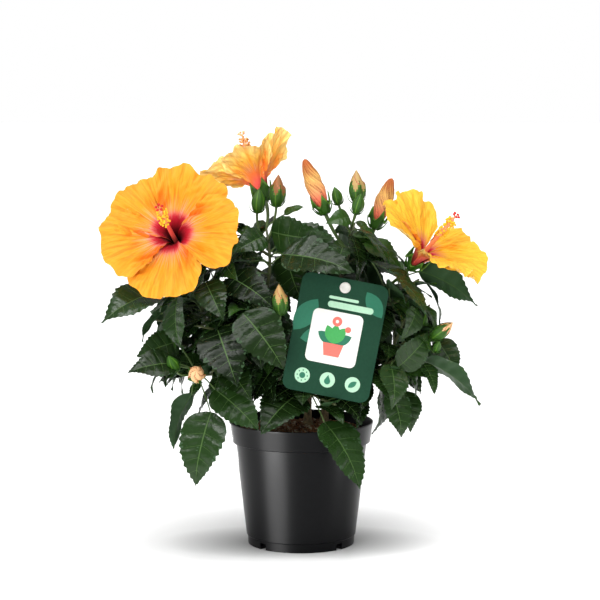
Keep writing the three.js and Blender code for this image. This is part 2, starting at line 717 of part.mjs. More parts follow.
SHOOTS.forEach((shoot) => {
  const whole = limb(boughLine(shoot), taper(BOUGH_FOOT_RADIUS, BOUGH_TIP_RADIUS), 5, 4);
  const solid = keep(shoot.at === 1 ? whole : whole.subtract(stemRoom[shoot.stem]), `bough_${shoot.name}`);
  plant.add(meshOf(`bough_${shoot.name}`, solid, materials.bark));
});

// The care card and its pin
const cardAngles = new THREE.Euler(rad(90 - CARD_LEAN), 0, rad(-CARD_ROLL));
const cardTurn = new THREE.Quaternion().setFromEuler(cardAngles);

function makeCard() {
  const [left, low] = [-CARD_WIDTH / 2, CARD_HOLE_BELOW_TOP - CARD_HEIGHT];
  const [right, high] = [left + CARD_WIDTH, low + CARD_HEIGHT];
  const outline = new THREE.Shape();
  outline.moveTo(left + CARD_CORNER, low);
  outline.lineTo(right - CARD_CORNER, low);
  outline.absarc(right - CARD_CORNER, low + CARD_CORNER, CARD_CORNER, -Math.PI / 2, 0);
  outline.lineTo(right, high - CARD_CORNER);
  outline.absarc(right - CARD_CORNER, high - CARD_CORNER, CARD_CORNER, 0, Math.PI / 2);
  outline.lineTo(left + CARD_CORNER, high);
  outline.absarc(left + CARD_CORNER, high - CARD_CORNER, CARD_CORNER, Math.PI / 2, Math.PI);
  outline.lineTo(left, low + CARD_CORNER);
  outline.absarc(left + CARD_CORNER, low + CARD_CORNER, CARD_CORNER, Math.PI, 1.5 * Math.PI);
  outline.holes.push(new THREE.Path().absarc(0, 0, CARD_HOLE_RADIUS, 0, 2 * Math.PI));
  const card = new THREE.ExtrudeGeometry(outline, {
    depth: CARD_THICKNESS, bevelEnabled: false, curveSegments: 5,
  });
  return solidOf(card.translate(0, 0, -CARD_THICKNESS / 2));
}

// The pin's head lies in front of the card, and its open ring holds the bough behind the card.
function makePin(bough) {
  const hold = BOUGH_FOOT_RADIUS + 0.7;
  const way = bough.getTangent(PIN_ALONG_BOUGH);
  const centre = bough.getPoint(PIN_ALONG_BOUGH);
  const face = vec([0, 0, 1]).applyQuaternion(cardTurn);
  const front = vec(CARD_HOLE_AT).addScaledVector(face, CARD_THICKNESS / 2 + GAP);
  const out = front.clone().sub(centre).normalize();
  const head = new THREE.CylinderGeometry(PIN_HEAD_RADIUS - 0.4, PIN_HEAD_RADIUS, 1.4, 16)
    .rotateX(Math.PI / 2).translate(0, 0, 0.7);
  const behind = centre.clone().addScaledVector(out, hold + 0.5);
  const ahead = front.clone().addScaledVector(out, 0.6);
  const shank = stick(behind, ahead, PIN_SHANK_RADIUS, PIN_SHANK_RADIUS, 8);
  const ring = new THREE.Shape().absarc(0, 0, hold + 1.3, rad(-50), rad(230));
  ring.absarc(0, 0, hold, rad(230), rad(-50), true);
  const clip = new THREE.ExtrudeGeometry(ring, { depth: 4, bevelEnabled: false, curveSegments: 10 })
    .translate(0, 0, -2);
  const upright = out.clone().addScaledVector(way, -out.dot(way)).normalize();
  const clipTurn = new THREE.Quaternion().setFromRotationMatrix(
    new THREE.Matrix4().makeBasis(upright.clone().cross(way), upright, way));
  return joined([placed(solidOf(head), front, cardTurn), shank, placed(solidOf(clip), centre, clipTurn)]);
}

const card = makeCard();
const cardMesh = meshOf('care_card', card, materials.card);
cardMesh.position.copy(vec(CARD_HOLE_AT));
cardMesh.quaternion.copy(cardTurn);
keep(placed(card, cardMesh.position, cardTurn), 'care_card');
const pin = keep(makePin(boughLine(SHOOTS.find((shoot) => shoot.name === 'middle'))), 'card_pin');
label.add(cardMesh, meshOf('card_pin', pin, materials.pin));

// Blooms and tall buds come before the leaves, so that the leaves keep clear of them.
const flowers = [];
BLOOMS.forEach((bloom, i) => {
  const solid = corolla(bloom, i + 1);
  flowers.push({ ...bloom, solid, material: materials.petal, mouth: 11.6, height: CALYX_HEIGHT });
});
TALL_BUDS.forEach((bud) => {
  const closed = spindle(bud.length, 8.2, 8);
  const foot = new THREE.CylinderGeometry(4, 3.8, 6, 8).rotateX(Math.PI / 2).translate(0, 0, 3 - SEAT_DEPTH);
  const seated = joined([closed, solidOf(foot)]);
  flowers.push({ ...bud, solid: seated, material: materials.bud, mouth: 9, height: CALYX_HEIGHT });
});
flowers.forEach((flower) => {
  const axis = vec(flower.axis).normalize();
  const mesh = meshOf(flower.name, flower.solid, flower.material);
  mesh.position.copy(vec(flower.base));
  mesh.quaternion.copy(aimed(axis));
  plant.add(mesh);
  keep(placed(flower.solid, mesh.position, mesh.quaternion), flower.name);
});

// Each mass starts as its shoot, with the stalks, calyces and buds that it carries.
const masses = SHOOTS.map((shoot, i) => {
  const owner = `foliage_${shoot.name}`;
  const line = shootLine(shoot);
  const parts = [limb(line, taper(BOUGH_TIP_RADIUS, SHOOT_TIP_RADIUS), 4, 3)];
  flowers.filter((flower) => flower.shoot === shoot.name).forEach((flower) => {
    const axis = vec(flower.axis).normalize();
    const foot = vec(flower.base).addScaledVector(axis, -3);
    const stalk = stalkLine(line.getPoint(flower.at), foot, axis);
    parts.push(limb(stalk, taper(STALK_RADIUS, STALK_RADIUS * 1.5), 4, 4));
    parts.push(placed(calyx(flower.mouth, flower.height), vec(flower.base), aimed(axis)));
  });
  (shoot.buds ?? []).forEach((bud) => {
    const [foot, end] = [vec(bud.foot), vec(bud.tip)];
    const axis = end.clone().sub(foot).normalize();
    const length = foot.distanceTo(end);
    const stalk = stalkLine(line.getPoint(bud.at), foot.clone().addScaledVector(axis, 1), axis);
    parts.push(limb(stalk, taper(STALK_RADIUS, STALK_RADIUS), 3, 2));
    parts.push(placed(spindle(length, length * 0.27, 5), foot, aimed(axis)));
  });
  parts.forEach((part) => keep(part, owner));
  return { shoot, owner, seed: i + 1, lines: [line], parts };
});

// Adds a leaf if it keeps clear of everything but its own mass's wood.
function growLeaf(mass, candidate) {
  const { whole, blade, petiole, twisted } = leaf(candidate);
  if (twisted || !isClear(whole, mass.owner) || !isClear(blade) || !isClear(petiole)) return false;
  keep(whole, mass.owner);
  mass.parts.push(whole);
  return true;
}

// Adds a side twig if it keeps clear of everything but its own mass's wood.
function growTwig(mass, line) {
  const twig = limb(line, taper(TWIG_RADIUS, TWIG_RADIUS * 0.85), 3, 2);
  const free = stick(line.getPoint(0.14), line.getPoint(1), TWIG_RADIUS, TWIG_RADIUS);
  if (!inCrown(line.getPoint(1)) || !isClear(twig, mass.owner) || !isClear(free)) return false;
  mass.parts.push(keep(twig, mass.owner));
  mass.lines.push(line);
  return true;
}

// Calls grow with one try after another, until it succeeds or the tries run out.
function attemptEach(tries, grow) {
  return Array.from({ length: tries }, (_, attempt) => attempt).some(grow);
}

masses.forEach((mass) => {
  (mass.shoot.posed ?? []).forEach((pose) => {
    attemptEach(TRIES, (attempt) => growLeaf(mass, posedLeaf(mass, pose, attempt)));
  });
});

masses.forEach((mass) => {
  const line = mass.lines[0];
  for (let j = 0; j < mass.shoot.spiral.twigs; j += 1) {
    attemptEach(TRIES, (attempt) => growTwig(mass, twigLine(mass.shoot, line, mass.seed, j, attempt)));
  }
});

masses.forEach((mass) => {
  for (let k = 0; k < mass.shoot.spiral.count; k += 1) {
    attemptEach(TRIES, (attempt) => {
      const next = spiralLeaf(mass, k, attempt);
      return inCrown(next.tip) && growLeaf(mass, next);
    });
  }
});

masses.forEach((mass) => plant.add(meshOf(mass.owner, joined(mass.parts), materials.leaf)));

const hibiscus = new THREE.Group();
hibiscus.add(container, plant, label);
export default hibiscus;
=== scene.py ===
import json
import math

import bpy
import numpy as np
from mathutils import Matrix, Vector, noise
from mathutils.bvhtree import BVHTree
from mathutils.kdtree import KDTree

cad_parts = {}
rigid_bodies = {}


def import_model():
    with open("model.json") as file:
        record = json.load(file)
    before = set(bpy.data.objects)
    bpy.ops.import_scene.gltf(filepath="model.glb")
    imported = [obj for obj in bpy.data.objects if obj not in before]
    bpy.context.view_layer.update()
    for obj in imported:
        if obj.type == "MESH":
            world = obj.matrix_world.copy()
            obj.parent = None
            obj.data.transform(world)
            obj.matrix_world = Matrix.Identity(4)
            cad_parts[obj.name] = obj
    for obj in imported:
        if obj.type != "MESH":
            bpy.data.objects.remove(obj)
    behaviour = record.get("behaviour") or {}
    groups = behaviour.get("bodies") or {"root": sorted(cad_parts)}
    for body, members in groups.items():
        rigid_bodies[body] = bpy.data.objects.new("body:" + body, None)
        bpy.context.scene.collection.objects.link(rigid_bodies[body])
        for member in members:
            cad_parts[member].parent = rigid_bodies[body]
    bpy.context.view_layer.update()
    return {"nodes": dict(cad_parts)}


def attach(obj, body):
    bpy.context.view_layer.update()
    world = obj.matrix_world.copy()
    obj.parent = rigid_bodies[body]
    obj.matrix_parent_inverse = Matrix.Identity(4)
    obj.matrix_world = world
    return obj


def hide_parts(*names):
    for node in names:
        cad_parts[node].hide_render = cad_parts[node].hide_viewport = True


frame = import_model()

# The potted hibiscus, dressed: fine pot, crumbly mix, bark, leaves, flowers and a plain care card.
# Lengths are in millimetres until a piece is made. The growing rule is the one of the part's source.
MM = 0.001

# Camera: found from the pot's ellipses in the photograph
CAMERA_AT = (-0.001, -1.739, 0.399)
CAMERA_TILT = 84.128
CAMERA_LENS = 117.07

# Pot and potting mix
POT_HEIGHT = 111
RIM_RADIUS = 65
RIM_BAND = 18
RIM_TAPER = 2.7
BODY_TOP_RADIUS = 59.2
BODY_FOOT_RADIUS = 49.3
FOOT_BAND = 8
FOOT_RADIUS = 48
POT_WALL = 1.3
POT_FLOOR = 1.8
DRAIN_SLOTS = 4
DRAIN_SLOT_WIDTH = 7
DRAIN_SLOT_HEIGHT = 6
MIX_EDGE_BELOW_RIM = 9
MIX_MOUND = 6
GAP = 0.35

# Wood
STEM_FOOT_RADIUS = 3.3
STEM_TOP_RADIUS = 2.7
ROOT_FLARE = 1.8
BOUGH_FOOT_RADIUS = 2.2
BOUGH_TIP_RADIUS = 1.7
SHOOT_TIP_RADIUS = 1.3
TWIG_RADIUS = 1.3
STALK_RADIUS = 1.2
PETIOLE_RADIUS = 0.7

# Leaves, as shares of their length
LEAF_HALF_WIDTH = 0.34
LEAF_ARCH = 0.08
LEAF_FOLD = 0.14
FACE_OUT = 0.75
FACE_UP = 0.65

# Growth
GOLDEN_ANGLE = 137.508
TRIES = 20
TWIG_LENGTH = 44
CROWN_MIDDLE = np.array([-5, 6, 190])
CROWN_HALF = np.array([137, 122, 104])
CROWN_ROUNDNESS = 2.3
SAME_PLACE = 0.3
CORE_HALF = np.array([80, 90, 84])

# Flowers
PETALS = 5
PETAL_LENGTH = 76
PETAL_SPREAD = 47
PETAL_LIFT = 1.5
THROAT_RADIUS = 3
CALYX_HEIGHT = 14

# Care card and pin
CARD_WIDTH = 76
CARD_HEIGHT = 103
CARD_THICKNESS = 0.8
CARD_CORNER = 8
CARD_HOLE_BELOW_TOP = 8
CARD_HOLE_RADIUS = 2.5
CARD_ROLL = 11
CARD_LEAN = 9.5
CARD_HOLE_AT = (38, -61, 237)
PIN_HEAD_RADIUS = 4.8
PIN_SHANK_RADIUS = 1.5
PIN_ALONG_BOUGH = 0.9

# Light
SUNS = [
    ("sun above left", -30, 22, 1.3, 40), ("sun above right", 35, 24, 1.2, 40), ("sun in front", -22, 77, 1.45, 34),
]
OVERHEADS = [
    ("overhead left", (-0.75, -0.5, 1.5), (0.3, 0.7), 9),
    ("overhead right", (0.7, -0.1, 1.6), (0.3, 0.6), 6),
]
STRIPS = [
    ("strip left", (-0.265, -0.26, 0.0), (0.12, 0.24), 8.5),
    ("strip right", (0.33, -0.135, 0.061), (0.04, 0.12), 0.9),
    ("strip back", (-0.12, 0.33, 0.061), (0.10, 0.12), 0.3),
]
ROOM_LIGHT = 0.34
FLOOR_FILL = 1.95
FLOWER_FILLS = [("top bloom fill", ("bloom_top",), 80, 2.6), ("bud fill", ("tall_bud", "calyces"), 88, 0.9)]

STEMS = {
    "left": ((-14, 10), (-30, 8, 162)),
    "middle": ((6, -3), (9, -8, 158)),
    "right": ((21, 12), (38, 10, 160)),
}

# Each shoot: its stem, how far up it the bough leaves, the bough's tip and the shoot's tip, then the
# number of spiral leaves, the first one's turn, the longest blade and the number of side twigs.
# posed: base, tip and roll of the leaves that make the outline. buds: place on the shoot, foot, tip.
SHOOTS = [
    dict(
        name="left_low", stem="left", at=0.62, bough=(-64, -38, 157), tip=(-92, -66, 166),
        spiral=(9, 150, 58, 2),
        posed=[
            ((-77, -88, 133), (-91, -101, 71), -22),
            ((-74, -86, 152), (-36, -100, 119), -20),
            ((-94, -76, 147), (-110, -88, 101), 62),
            ((-88, -86, 154), (-96, -96, 134), 0),
            ((-108, -66, 174), (-147, -84, 169), -30),
            ((-108, -44, 188), (-143, -60, 177), -62),
            ((-120, -52, 166), (-131, -64, 145), 20),
        ],
        buds=[(0.9, (-107, -68, 168), (-113, -78, 182)), (1, (-90, -86, 163), (-88, -107, 171))],
    ),
    dict(
        name="left", stem="left", at=0.85, bough=(-76, -32, 194), tip=(-94, -22, 232),
        spiral=(9, 200, 62, 2),
        posed=[
            ((-122, -64, 234), (-170, -92, 211), -28),
            ((-122, -48, 214), (-139, -58, 190), 35),
            ((-106, -72, 230), (-102, -92, 185), 10),
            ((-82, -72, 243), (-66, -98, 213), -20),
        ],
    ),
    dict(
        name="upper_left", stem="left", at=1, bough=(-31, -20, 232), tip=(-31, -14, 286),
        spiral=(9, 80, 56, 2),
        posed=[
            ((-32, -36, 280), (-58, -58, 268), -50),
            ((-26, -38, 284), (28, -58, 279), 58),
            ((-15, -8, 297), (3, -6, 304), 20),
            ((-62, -56, 246), (-24, -82, 223), -12),
            ((-46, -44, 258), (-66, -58, 256), 15),
            ((-16, -48, 266), (45, -68, 253), -8),
        ],
        buds=[(0.85, (-22, -10, 304), (-20, -10, 333)), (0.7, (-39, -15, 299), (-37, -15, 321))],
    ),
    dict(
        name="front_left", stem="left", at=0.74, bough=(-38, -48, 184), tip=(-48, -66, 208),
        spiral=(11, 20, 62, 2),
        posed=[((-72, -80, 204), (-54, -116, 160), -20), ((-50, -62, 218), (-14, -76, 171), -18)],
        buds=[(0.8, (-18, -76, 215), (-19, -79, 242))],
    ),
    dict(
        name="left_side", stem="left", at=0.5, bough=(-74, 12, 162), tip=(-98, 16, 184),
        spiral=(14, 0, 66, 3),
    ),
    dict(
        name="left_back", stem="left", at=0.93, bough=(-58, 42, 184), tip=(-80, 62, 212),
        spiral=(16, 60, 70, 4),
    ),
    dict(
        name="middle", stem="middle", at=1, bough=(36, -34, 246), tip=(44, -27, 292),
        spiral=(9, 310, 56, 2),
        posed=[((47, -58, 288), (76, -76, 259), -25), ((42, -52, 297), (22, -66, 293), -10)],
        buds=[
            (0.95, (49, -35, 308), (48, -35, 338)),
            (0.9, (47, -46, 300), (52, -50, 318)),
            (0.8, (33, -30, 307), (29, -32, 323)),
        ],
    ),
    dict(
        name="front_low", stem="middle", at=0.6, bough=(4, -36, 143), tip=(5, -54, 153),
        spiral=(7, 250, 54, 1),
        posed=[
            ((20, -70, 121), (51, -90, 67), -18),
            ((-4, -52, 142), (-34, -96, 117), 0),
            ((4, -54, 165), (12, -68, 138), 0),
            ((-18, -52, 172), (-42, -66, 138), 8),
        ],
    ),
    dict(
        name="centre_left", stem="middle", at=0.42, bough=(-16, -24, 142), tip=(-36, -34, 164),
        spiral=(10, 0, 60, 2),
    ),
    dict(
        name="centre_right", stem="right", at=0.3, bough=(40, -22, 140), tip=(44, -30, 166),
        spiral=(10, 90, 58, 2),
    ),
    dict(
        name="back_low", stem="middle", at=0.8, bough=(4, 50, 154), tip=(0, 76, 172),
        spiral=(16, 30, 70, 4),
    ),
    dict(
        name="right_low", stem="right", at=0.62, bough=(62, -36, 158), tip=(82, -54, 174),
        spiral=(9, 100, 60, 2),
        posed=[
            ((84, -62, 168), (112, -52, 197), 20),
            ((77, -74, 172), (79, -93, 137), 5),
            ((70, -50, 151), (63, -64, 109), -30),
            ((79, -46, 145), (88, -56, 105), 25),
            ((92, -28, 142), (97, -38, 107), 40),
        ],
    ),
    dict(
        name="right", stem="right", at=0.8, bough=(86, -32, 182), tip=(112, -42, 188),
        spiral=(9, 220, 60, 2),
        posed=[
            ((106, -62, 170), (117, -76, 145), 15),
            ((108, -44, 170), (157, -62, 134), -35),
            ((120, -33, 187), (138, -42, 157), 55),
            ((100, -56, 219), (87, -70, 193), -10),
            ((103, -70, 172), (91, -80, 175), -20),
        ],
        buds=[
            (0.9, (114, -46, 191), (132, -53, 206)),
            (1, (117, -50, 180), (120, -56, 190)),
            (0.6, (107, -40, 202), (109, -42, 212)),
        ],
    ),
    dict(
        name="upper_right", stem="right", at=1, bough=(62, -14, 212), tip=(76, -16, 234),
        spiral=(9, 130, 54, 2),
        posed=[((60, -66, 260), (107, -92, 219), -22), ((104, -38, 248), (155, -56, 219), -40)],
    ),
    dict(
        name="right_side", stem="right", at=0.5, bough=(80, 14, 164), tip=(100, 20, 184),
        spiral=(12, 40, 56, 3),
    ),
    dict(
        name="right_back", stem="right", at=0.72, bough=(64, 44, 184), tip=(84, 62, 208),
        spiral=(16, 100, 70, 4),
    ),
    dict(
        name="back", stem="right", at=0.9, bough=(20, 44, 206), tip=(14, 56, 238),
        spiral=(16, 10, 68, 4),
    ),
]

BLOOMS = [
    dict(
        name="bloom_left", shoot="left", base=(-107, -46, 273), axis=(-0.17, -0.87, 0.47), size=1,
        flare=79, bends=(0, 3, -3, 2, -2), turn=41, shifts=(20, 22, 2, 0, 22), rounding=0.25, column=70,
    ),
    dict(
        name="bloom_top", shoot="upper_left", base=(-33, 4, 312), axis=(-0.31, 0.46, 0.83), size=0.84,
        flare=64, bends=(2, 10, -16, -38, -36), turn=190, shifts=(0, 0, 0, -14, 4), rounding=0.42,
        column=84,
    ),
    dict(
        name="bloom_right", shoot="upper_right", base=(97, -33, 254), axis=(0.56, -0.47, 0.68), size=0.93,
        flare=70, bends=(-8, 8, -2, 0, -14), turn=-17, shifts=(10, -19, 6, -16, 19), rounding=0.4,
        column=70,
    ),
]
TALL_BUDS = [
    dict(name="tall_bud_middle", at=0.45, base=(20, -40, 303), axis=(-0.36, -0.1, 0.93), length=48),
    dict(name="tall_bud_right", at=0.55, base=(66, -8, 288), axis=(0.33, 0, 0.94), length=44),
]


def vec(place):
    return np.array(place, float)


def unit(v):
    return v / np.linalg.norm(v)


def chance(a, b=0, c=0):
    """A repeatable value from 0 to 1 for up to three whole numbers."""
    s = math.sin(a * 12.9898 + b * 78.233 + c * 37.719 + 1.618) * 43758.5453
    return s - math.floor(s)


def smooth(x, low, high):
    x = np.clip((x - low) / (high - low), 0, 1)
    return x * x * (3 - 2 * x)


class Bend:
    """A quadratic curve through a and c, pulled towards b."""

    def __init__(self, a, b, c):
        self.a, self.b, self.c = vec(a), vec(b), vec(c)

    def point(self, t):
        return self.a * (1 - t) ** 2 + self.b * 2 * t * (1 - t) + self.c * t * t

    def way(self, t):
        return unit((self.b - self.a) * (1 - t) + (self.c - self.b) * t)


def turned_to(axis):
    """The matrix that turns +Z to axis by the shortest way."""
    axis = Vector(axis).normalized()
    return np.array(Vector((0, 0, 1)).rotation_difference(axis).to_matrix())


class Heap:
    """Faces gathered into one piece, each with the number of its material."""

    def __init__(self):
        self.points, self.faces, self.kinds, self.places, self.count = [], [], [], [], 0

    def add(self, points, faces, kind=0, places=None):
        self.points.append(np.asarray(points, float))
        self.faces.extend([[self.count + i for i in face] for face in faces])
        self.kinds.extend(kind if isinstance(kind, list) else [kind] * len(faces))
        self.places.append(np.zeros((len(points), 2)) if places is None else np.asarray(places))
        self.count += len(points)

    def triangles(self):
        return sum(len(face) - 2 for face in self.faces)

    def make(self, name, materials, slot, replaces=(), flat=False):
        mesh = bpy.data.meshes.new(name)
        mesh.from_pydata((np.concatenate(self.points) * MM).tolist(), [], self.faces)
        for material in materials:
            mesh.materials.append(material)
        mesh.polygons.foreach_set("material_index", self.kinds)
        corners = np.empty(len(mesh.loops), int)
        mesh.loops.foreach_get("vertex_index", corners)
        layer = mesh.uv_layers.new(name="place")
        layer.data.foreach_set("uv", np.concatenate(self.places)[corners].ravel())
        mesh.polygons.foreach_set("use_smooth", [not flat] * len(mesh.polygons))
        mesh.update()
        piece = bpy.data.objects.new(name, mesh)
        bpy.context.collection.objects.link(piece)
        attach(piece, "root")
        if replaces:
            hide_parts(*replaces)
        print(name, self.triangles(), "triangles")
        return piece


def grid_faces(rows, columns, closed=False, flip=False, start=0):
    """The quads of a grid of points laid row by row. closed joins the last column to the first."""
    faces = []
    width = columns if closed else columns + 1
    for i in range(rows):
        for j in range(columns):
            a = start + i * width + j
            b = start + i * width + (j + 1) % width
            face = [a, b, b + width, a + width]
            faces.append(face[::-1] if flip else face)
    return faces


def tube(curve, radius_at, sides, rings, relief=None, first=0.0, last=1.0, cap=True):
    """Points and faces of a round limb along a curve. relief(t, angle) adds to its radius."""
    axis = curve.point(1.0) - curve.point(0.0)
    aside = vec((1, 0, 0)) if abs(unit(axis)[0]) < 0.7 else vec((0, 1, 0))
    points = []
    for i in range(rings + 1):
        t = first + (last - first) * i / rings
        way = curve.way(t)
        across = unit(aside - way * aside.dot(way))
        third = np.cross(across, way)
        for j in range(sides):
            angle = 2 * math.pi * j / sides
            r = radius_at(t) + (relief(t, angle) if relief else 0)
            points.append(curve.point(t) + across * math.sin(angle) * r + third * math.cos(angle) * r)
    faces = grid_faces(rings, sides, closed=True)
    if cap:
        faces.append(list(range(sides))[::-1])
        faces.append([rings * sides + j for j in range(sides)])
    return points, faces


def taper(foot, tip):
    return lambda t: foot + (tip - foot) * t


def lathe(profile, sides, wobble=None):
    """Points and faces of a turned form. profile is (radius, height) from its foot to its top."""
    points = []
    for k, (r, h) in enumerate(profile):
        for j in range(sides):
            angle = 2 * math.pi * j / sides
            dr, dh = wobble(k, angle) if wobble else (0, 0)
            points.append(((r + dr) * math.cos(angle), (r + dr) * math.sin(angle), h + dh))
    return np.array(points), grid_faces(len(profile) - 1, sides, closed=True)


# Materials

def shader(name, colour, roughness, **sockets):
    material = bpy.data.materials.new(name)
    material.use_nodes = True
    nodes = material.node_tree.nodes
    principled = nodes["Principled BSDF"]
    principled.inputs["Base Color"].default_value = (*colour, 1)
    principled.inputs["Roughness"].default_value = roughness
    for key, value in sockets.items():
        principled.inputs[key.replace("_", " ")].default_value = value
    return material


def parts_of(material):
    return material.node_tree.nodes, material.node_tree.links, material.node_tree.nodes["Principled BSDF"]


def noise_node(material, scale, detail=4, stretch=(1, 1, 1), of="Object"):
    nodes, links, _ = parts_of(material)
    place = nodes.new("ShaderNodeTexCoord")
    mapping = nodes.new("ShaderNodeMapping")
    mapping.inputs["Scale"].default_value = stretch
    texture = nodes.new("ShaderNodeTexNoise")
    texture.inputs["Scale"].default_value = scale
    texture.inputs["Detail"].default_value = detail
    links.new(place.outputs[of], mapping.inputs["Vector"])
    links.new(mapping.outputs["Vector"], texture.inputs["Vector"])
    return texture


def ramp_node(material, source, stops):
    """A colour ramp on a value. stops are (position, colour)."""
    nodes, links, _ = parts_of(material)
    ramp = nodes.new("ShaderNodeValToRGB")
    bar = ramp.color_ramp.elements
    while len(bar) < len(stops):
        bar.new(0.5)
    for element, (position, colour) in zip(bar, stops):
        element.position = position
        element.color = (*colour, 1)
    links.new(source, ramp.inputs["Fac"])
    return ramp.outputs["Color"]


def bump(material, height, strength, distance):
    nodes, links, principled = parts_of(material)
    node = nodes.new("ShaderNodeBump")
    node.inputs["Strength"].default_value = strength
    node.inputs["Distance"].default_value = distance
    links.new(height, node.inputs["Height"])
    links.new(node.outputs["Normal"], principled.inputs["Normal"])


def math_node(material, operation, a, b):
    nodes, links, _ = parts_of(material)
    node = nodes.new("ShaderNodeMath")
    node.operation = operation
    for socket, value in zip(node.inputs, (a, b)):
        if isinstance(value, (int, float)):
            socket.default_value = value
        else:
            links.new(value, socket)
    return node.outputs[0]


def mix_node(material, share, a, b):
    nodes, links, _ = parts_of(material)
    node = nodes.new("ShaderNodeMix")
    node.data_type = "RGBA"
    for socket, value in ((node.inputs[0], share), (node.inputs[6], a), (node.inputs[7], b)):
        if isinstance(value, tuple):
            socket.default_value = (*value, 1)
        elif isinstance(value, (int, float)):
            socket.default_value = value
        else:
            links.new(value, socket)
    return node.outputs[2]


def placed_values(material):
    """Along and across, as the piece's own map gives them."""
    nodes, links, _ = parts_of(material)
    layer = nodes.new("ShaderNodeUVMap")
    layer.uv_map = "place"
    split = nodes.new("ShaderNodeSeparateXYZ")
    links.new(layer.outputs["UV"], split.inputs["Vector"])
    return layer, split.outputs["X"], split.outputs["Y"]


def grained(name, colour, roughness, scale, strength=0.25, distance=0.0004, spread=0.25, **sockets):
    """A finish with fine grain in its colour and its relief."""
    material = shader(name, colour, roughness, **sockets)
    _, links, principled = parts_of(material)
    texture = noise_node(material, scale)
    low = tuple(c * (1 - spread) for c in colour)
    high = tuple(min(1, c * (1 + spread)) for c in colour)
    links.new(ramp_node(material, texture.outputs["Fac"], [(0.3, low), (0.7, high)]), principled.inputs["Base Color"])
    bump(material, texture.outputs["Fac"], strength, distance)
    return material


def foliage(name, colour, roughness, strength=0.12, **sockets):
    """A plain colour for joined foliage, with a fine relief."""
    material = shader(name, colour, roughness, **sockets)
    texture = noise_node(material, 700, 3)
    bump(material, texture.outputs["Fac"], strength, 0.0003)
    return material


def leathery(name, colour, roughness, specular):
    """A leaf's plain colour, with the puckered relief between its finest veins."""
    material = shader(name, colour, roughness, Specular_IOR_Level=specular)
    texture = noise_node(material, 230, 5)
    bump(material, texture.outputs["Fac"], 0.55, 0.0014)
    return material


def stretched_noise(material, layer, stretch, scale, detail):
    """Noise drawn out along the petal, as its veins and streaks are."""
    nodes, links, _ = parts_of(material)
    mapping = nodes.new("ShaderNodeMapping")
    mapping.inputs["Scale"].default_value = stretch
    links.new(layer.outputs["UV"], mapping.inputs["Vector"])
    texture = nodes.new("ShaderNodeTexNoise")
    texture.inputs["Scale"].default_value = scale
    texture.inputs["Detail"].default_value = detail
    links.new(mapping.outputs["Vector"], texture.inputs["Vector"])
    return texture.outputs["Fac"]


def mask_node(material, source, stops):
    """A grey ramp. stops are (position, value)."""
    return ramp_node(material, source, [(position, (value, value, value)) for position, value in stops])


def petal_material(name, stops, deep, vein, pale, eye=1.0):
    """Petal colour by the place along it, with streaks and veins that run its length, deep orange patches that are
    partly its own colour and partly painted shade between its folds, and painted fold shade along one margin.
    """
    material = shader(name, (0.90, 0.37, 0.02), 0.6, Specular_IOR_Level=0.2)
    _, links, principled = parts_of(material)
    layer, along, across = placed_values(material)
    streaks = stretched_noise(material, layer, (1.4, 13, 1), 1.6, 5)
    veins = stretched_noise(material, layer, (1.2, 62, 1), 1.0, 3)
    shift = math_node(material, "MULTIPLY", math_node(material, "SUBTRACT", veins, 0.5), 0.16)
    colour = ramp_node(material, math_node(material, "ADD", along, shift), stops)
    # deep orange patches along the streaks: partly the petal's own deeper orange, partly painted shade between its
    # folds
    deep_colour_and_fold_shade = math_node(
        material, "MULTIPLY", mask_node(material, streaks, [(0.49, 0), (0.62, 1)]),
        mask_node(material, along, [(0.45, 0), (0.6, deep[0]), (0.85, deep[0] * 0.6), (1.0, deep[0] * 0.3)]),
    )
    colour = mix_node(material, deep_colour_and_fold_shade, colour, deep[1])
    # painted fold shade: deep orange along one margin of the petal, past its middle
    margin = mask_node(material, math_node(material, "FRACT", across, 0), [(0.78, 0), (0.88, 0.85), (1.0, 0.9)])
    painted_fold_shade = math_node(
        material, "MULTIPLY", margin,
        mask_node(material, math_node(material, "ADD", along, math_node(material, "MULTIPLY", streaks, 0.3)), [
            (0.62, 0), (0.68, 1), (0.86, 0.9), (0.98, 0),
        ]),
    )
    colour = mix_node(material, math_node(material, "MULTIPLY", painted_fold_shade, deep[0]), colour, (0.84, 0.11, 0.004))
    lines = math_node(
        material, "MULTIPLY", mask_node(material, veins, [(0.47, 0), (0.60, 1)]),
        mask_node(material, along, [(0.5, 0), (0.62, vein[0]), (1.0, vein[0] * 0.7)]),
    )
    colour = mix_node(material, lines, colour, vein[1])
    rays = math_node(
        material, "MULTIPLY", mask_node(material, veins, [(0.40, 1), (0.50, 0)]),
        mask_node(material, along, [
            (0.36 * eye, 0), (0.44 * eye, pale[0]), (0.52 * eye, pale[0] * 0.6), (0.66 * eye, 0),
        ]),
    )
    colour = mix_node(material, rays, colour, pale[1])
    links.new(colour, principled.inputs["Base Color"])
    bump(material, veins, 0.7, 0.0015)
    return material


POT = grained("pot plastic", (0.0016, 0.0018, 0.0024), 0.30, 260, 0.05, 0.0002, 0.2, Specular_IOR_Level=0.10)
MIX = grained("potting mix", (0.095, 0.040, 0.019), 0.95, 420, 0.8, 0.001, 0.7)
CRUMBS = [
    grained("coir", (0.20, 0.080, 0.036), 0.95, 900, 0.5, 0.0005, 0.4),
    grained("peat", (0.070, 0.031, 0.016), 0.95, 900, 0.5, 0.0005, 0.4),
    grained("bark bits", (0.20, 0.095, 0.045), 0.9, 900, 0.5, 0.0005, 0.4),
    grained("grit", (0.42, 0.36, 0.28), 0.85, 900, 0.4, 0.0005, 0.3),
]
STEM_BARK = grained("stem bark", (0.17, 0.125, 0.066), 0.8, 380, 0.7, 0.0008, 0.45)
BOUGH_BARK = grained("bough bark", (0.075, 0.062, 0.030), 0.75, 420, 0.6, 0.0006, 0.45)
TWIG = foliage("twig", (0.060, 0.075, 0.025), 0.6, 0.3)
PETIOLE = foliage("petiole", (0.065, 0.115, 0.025), 0.5, 0.2)
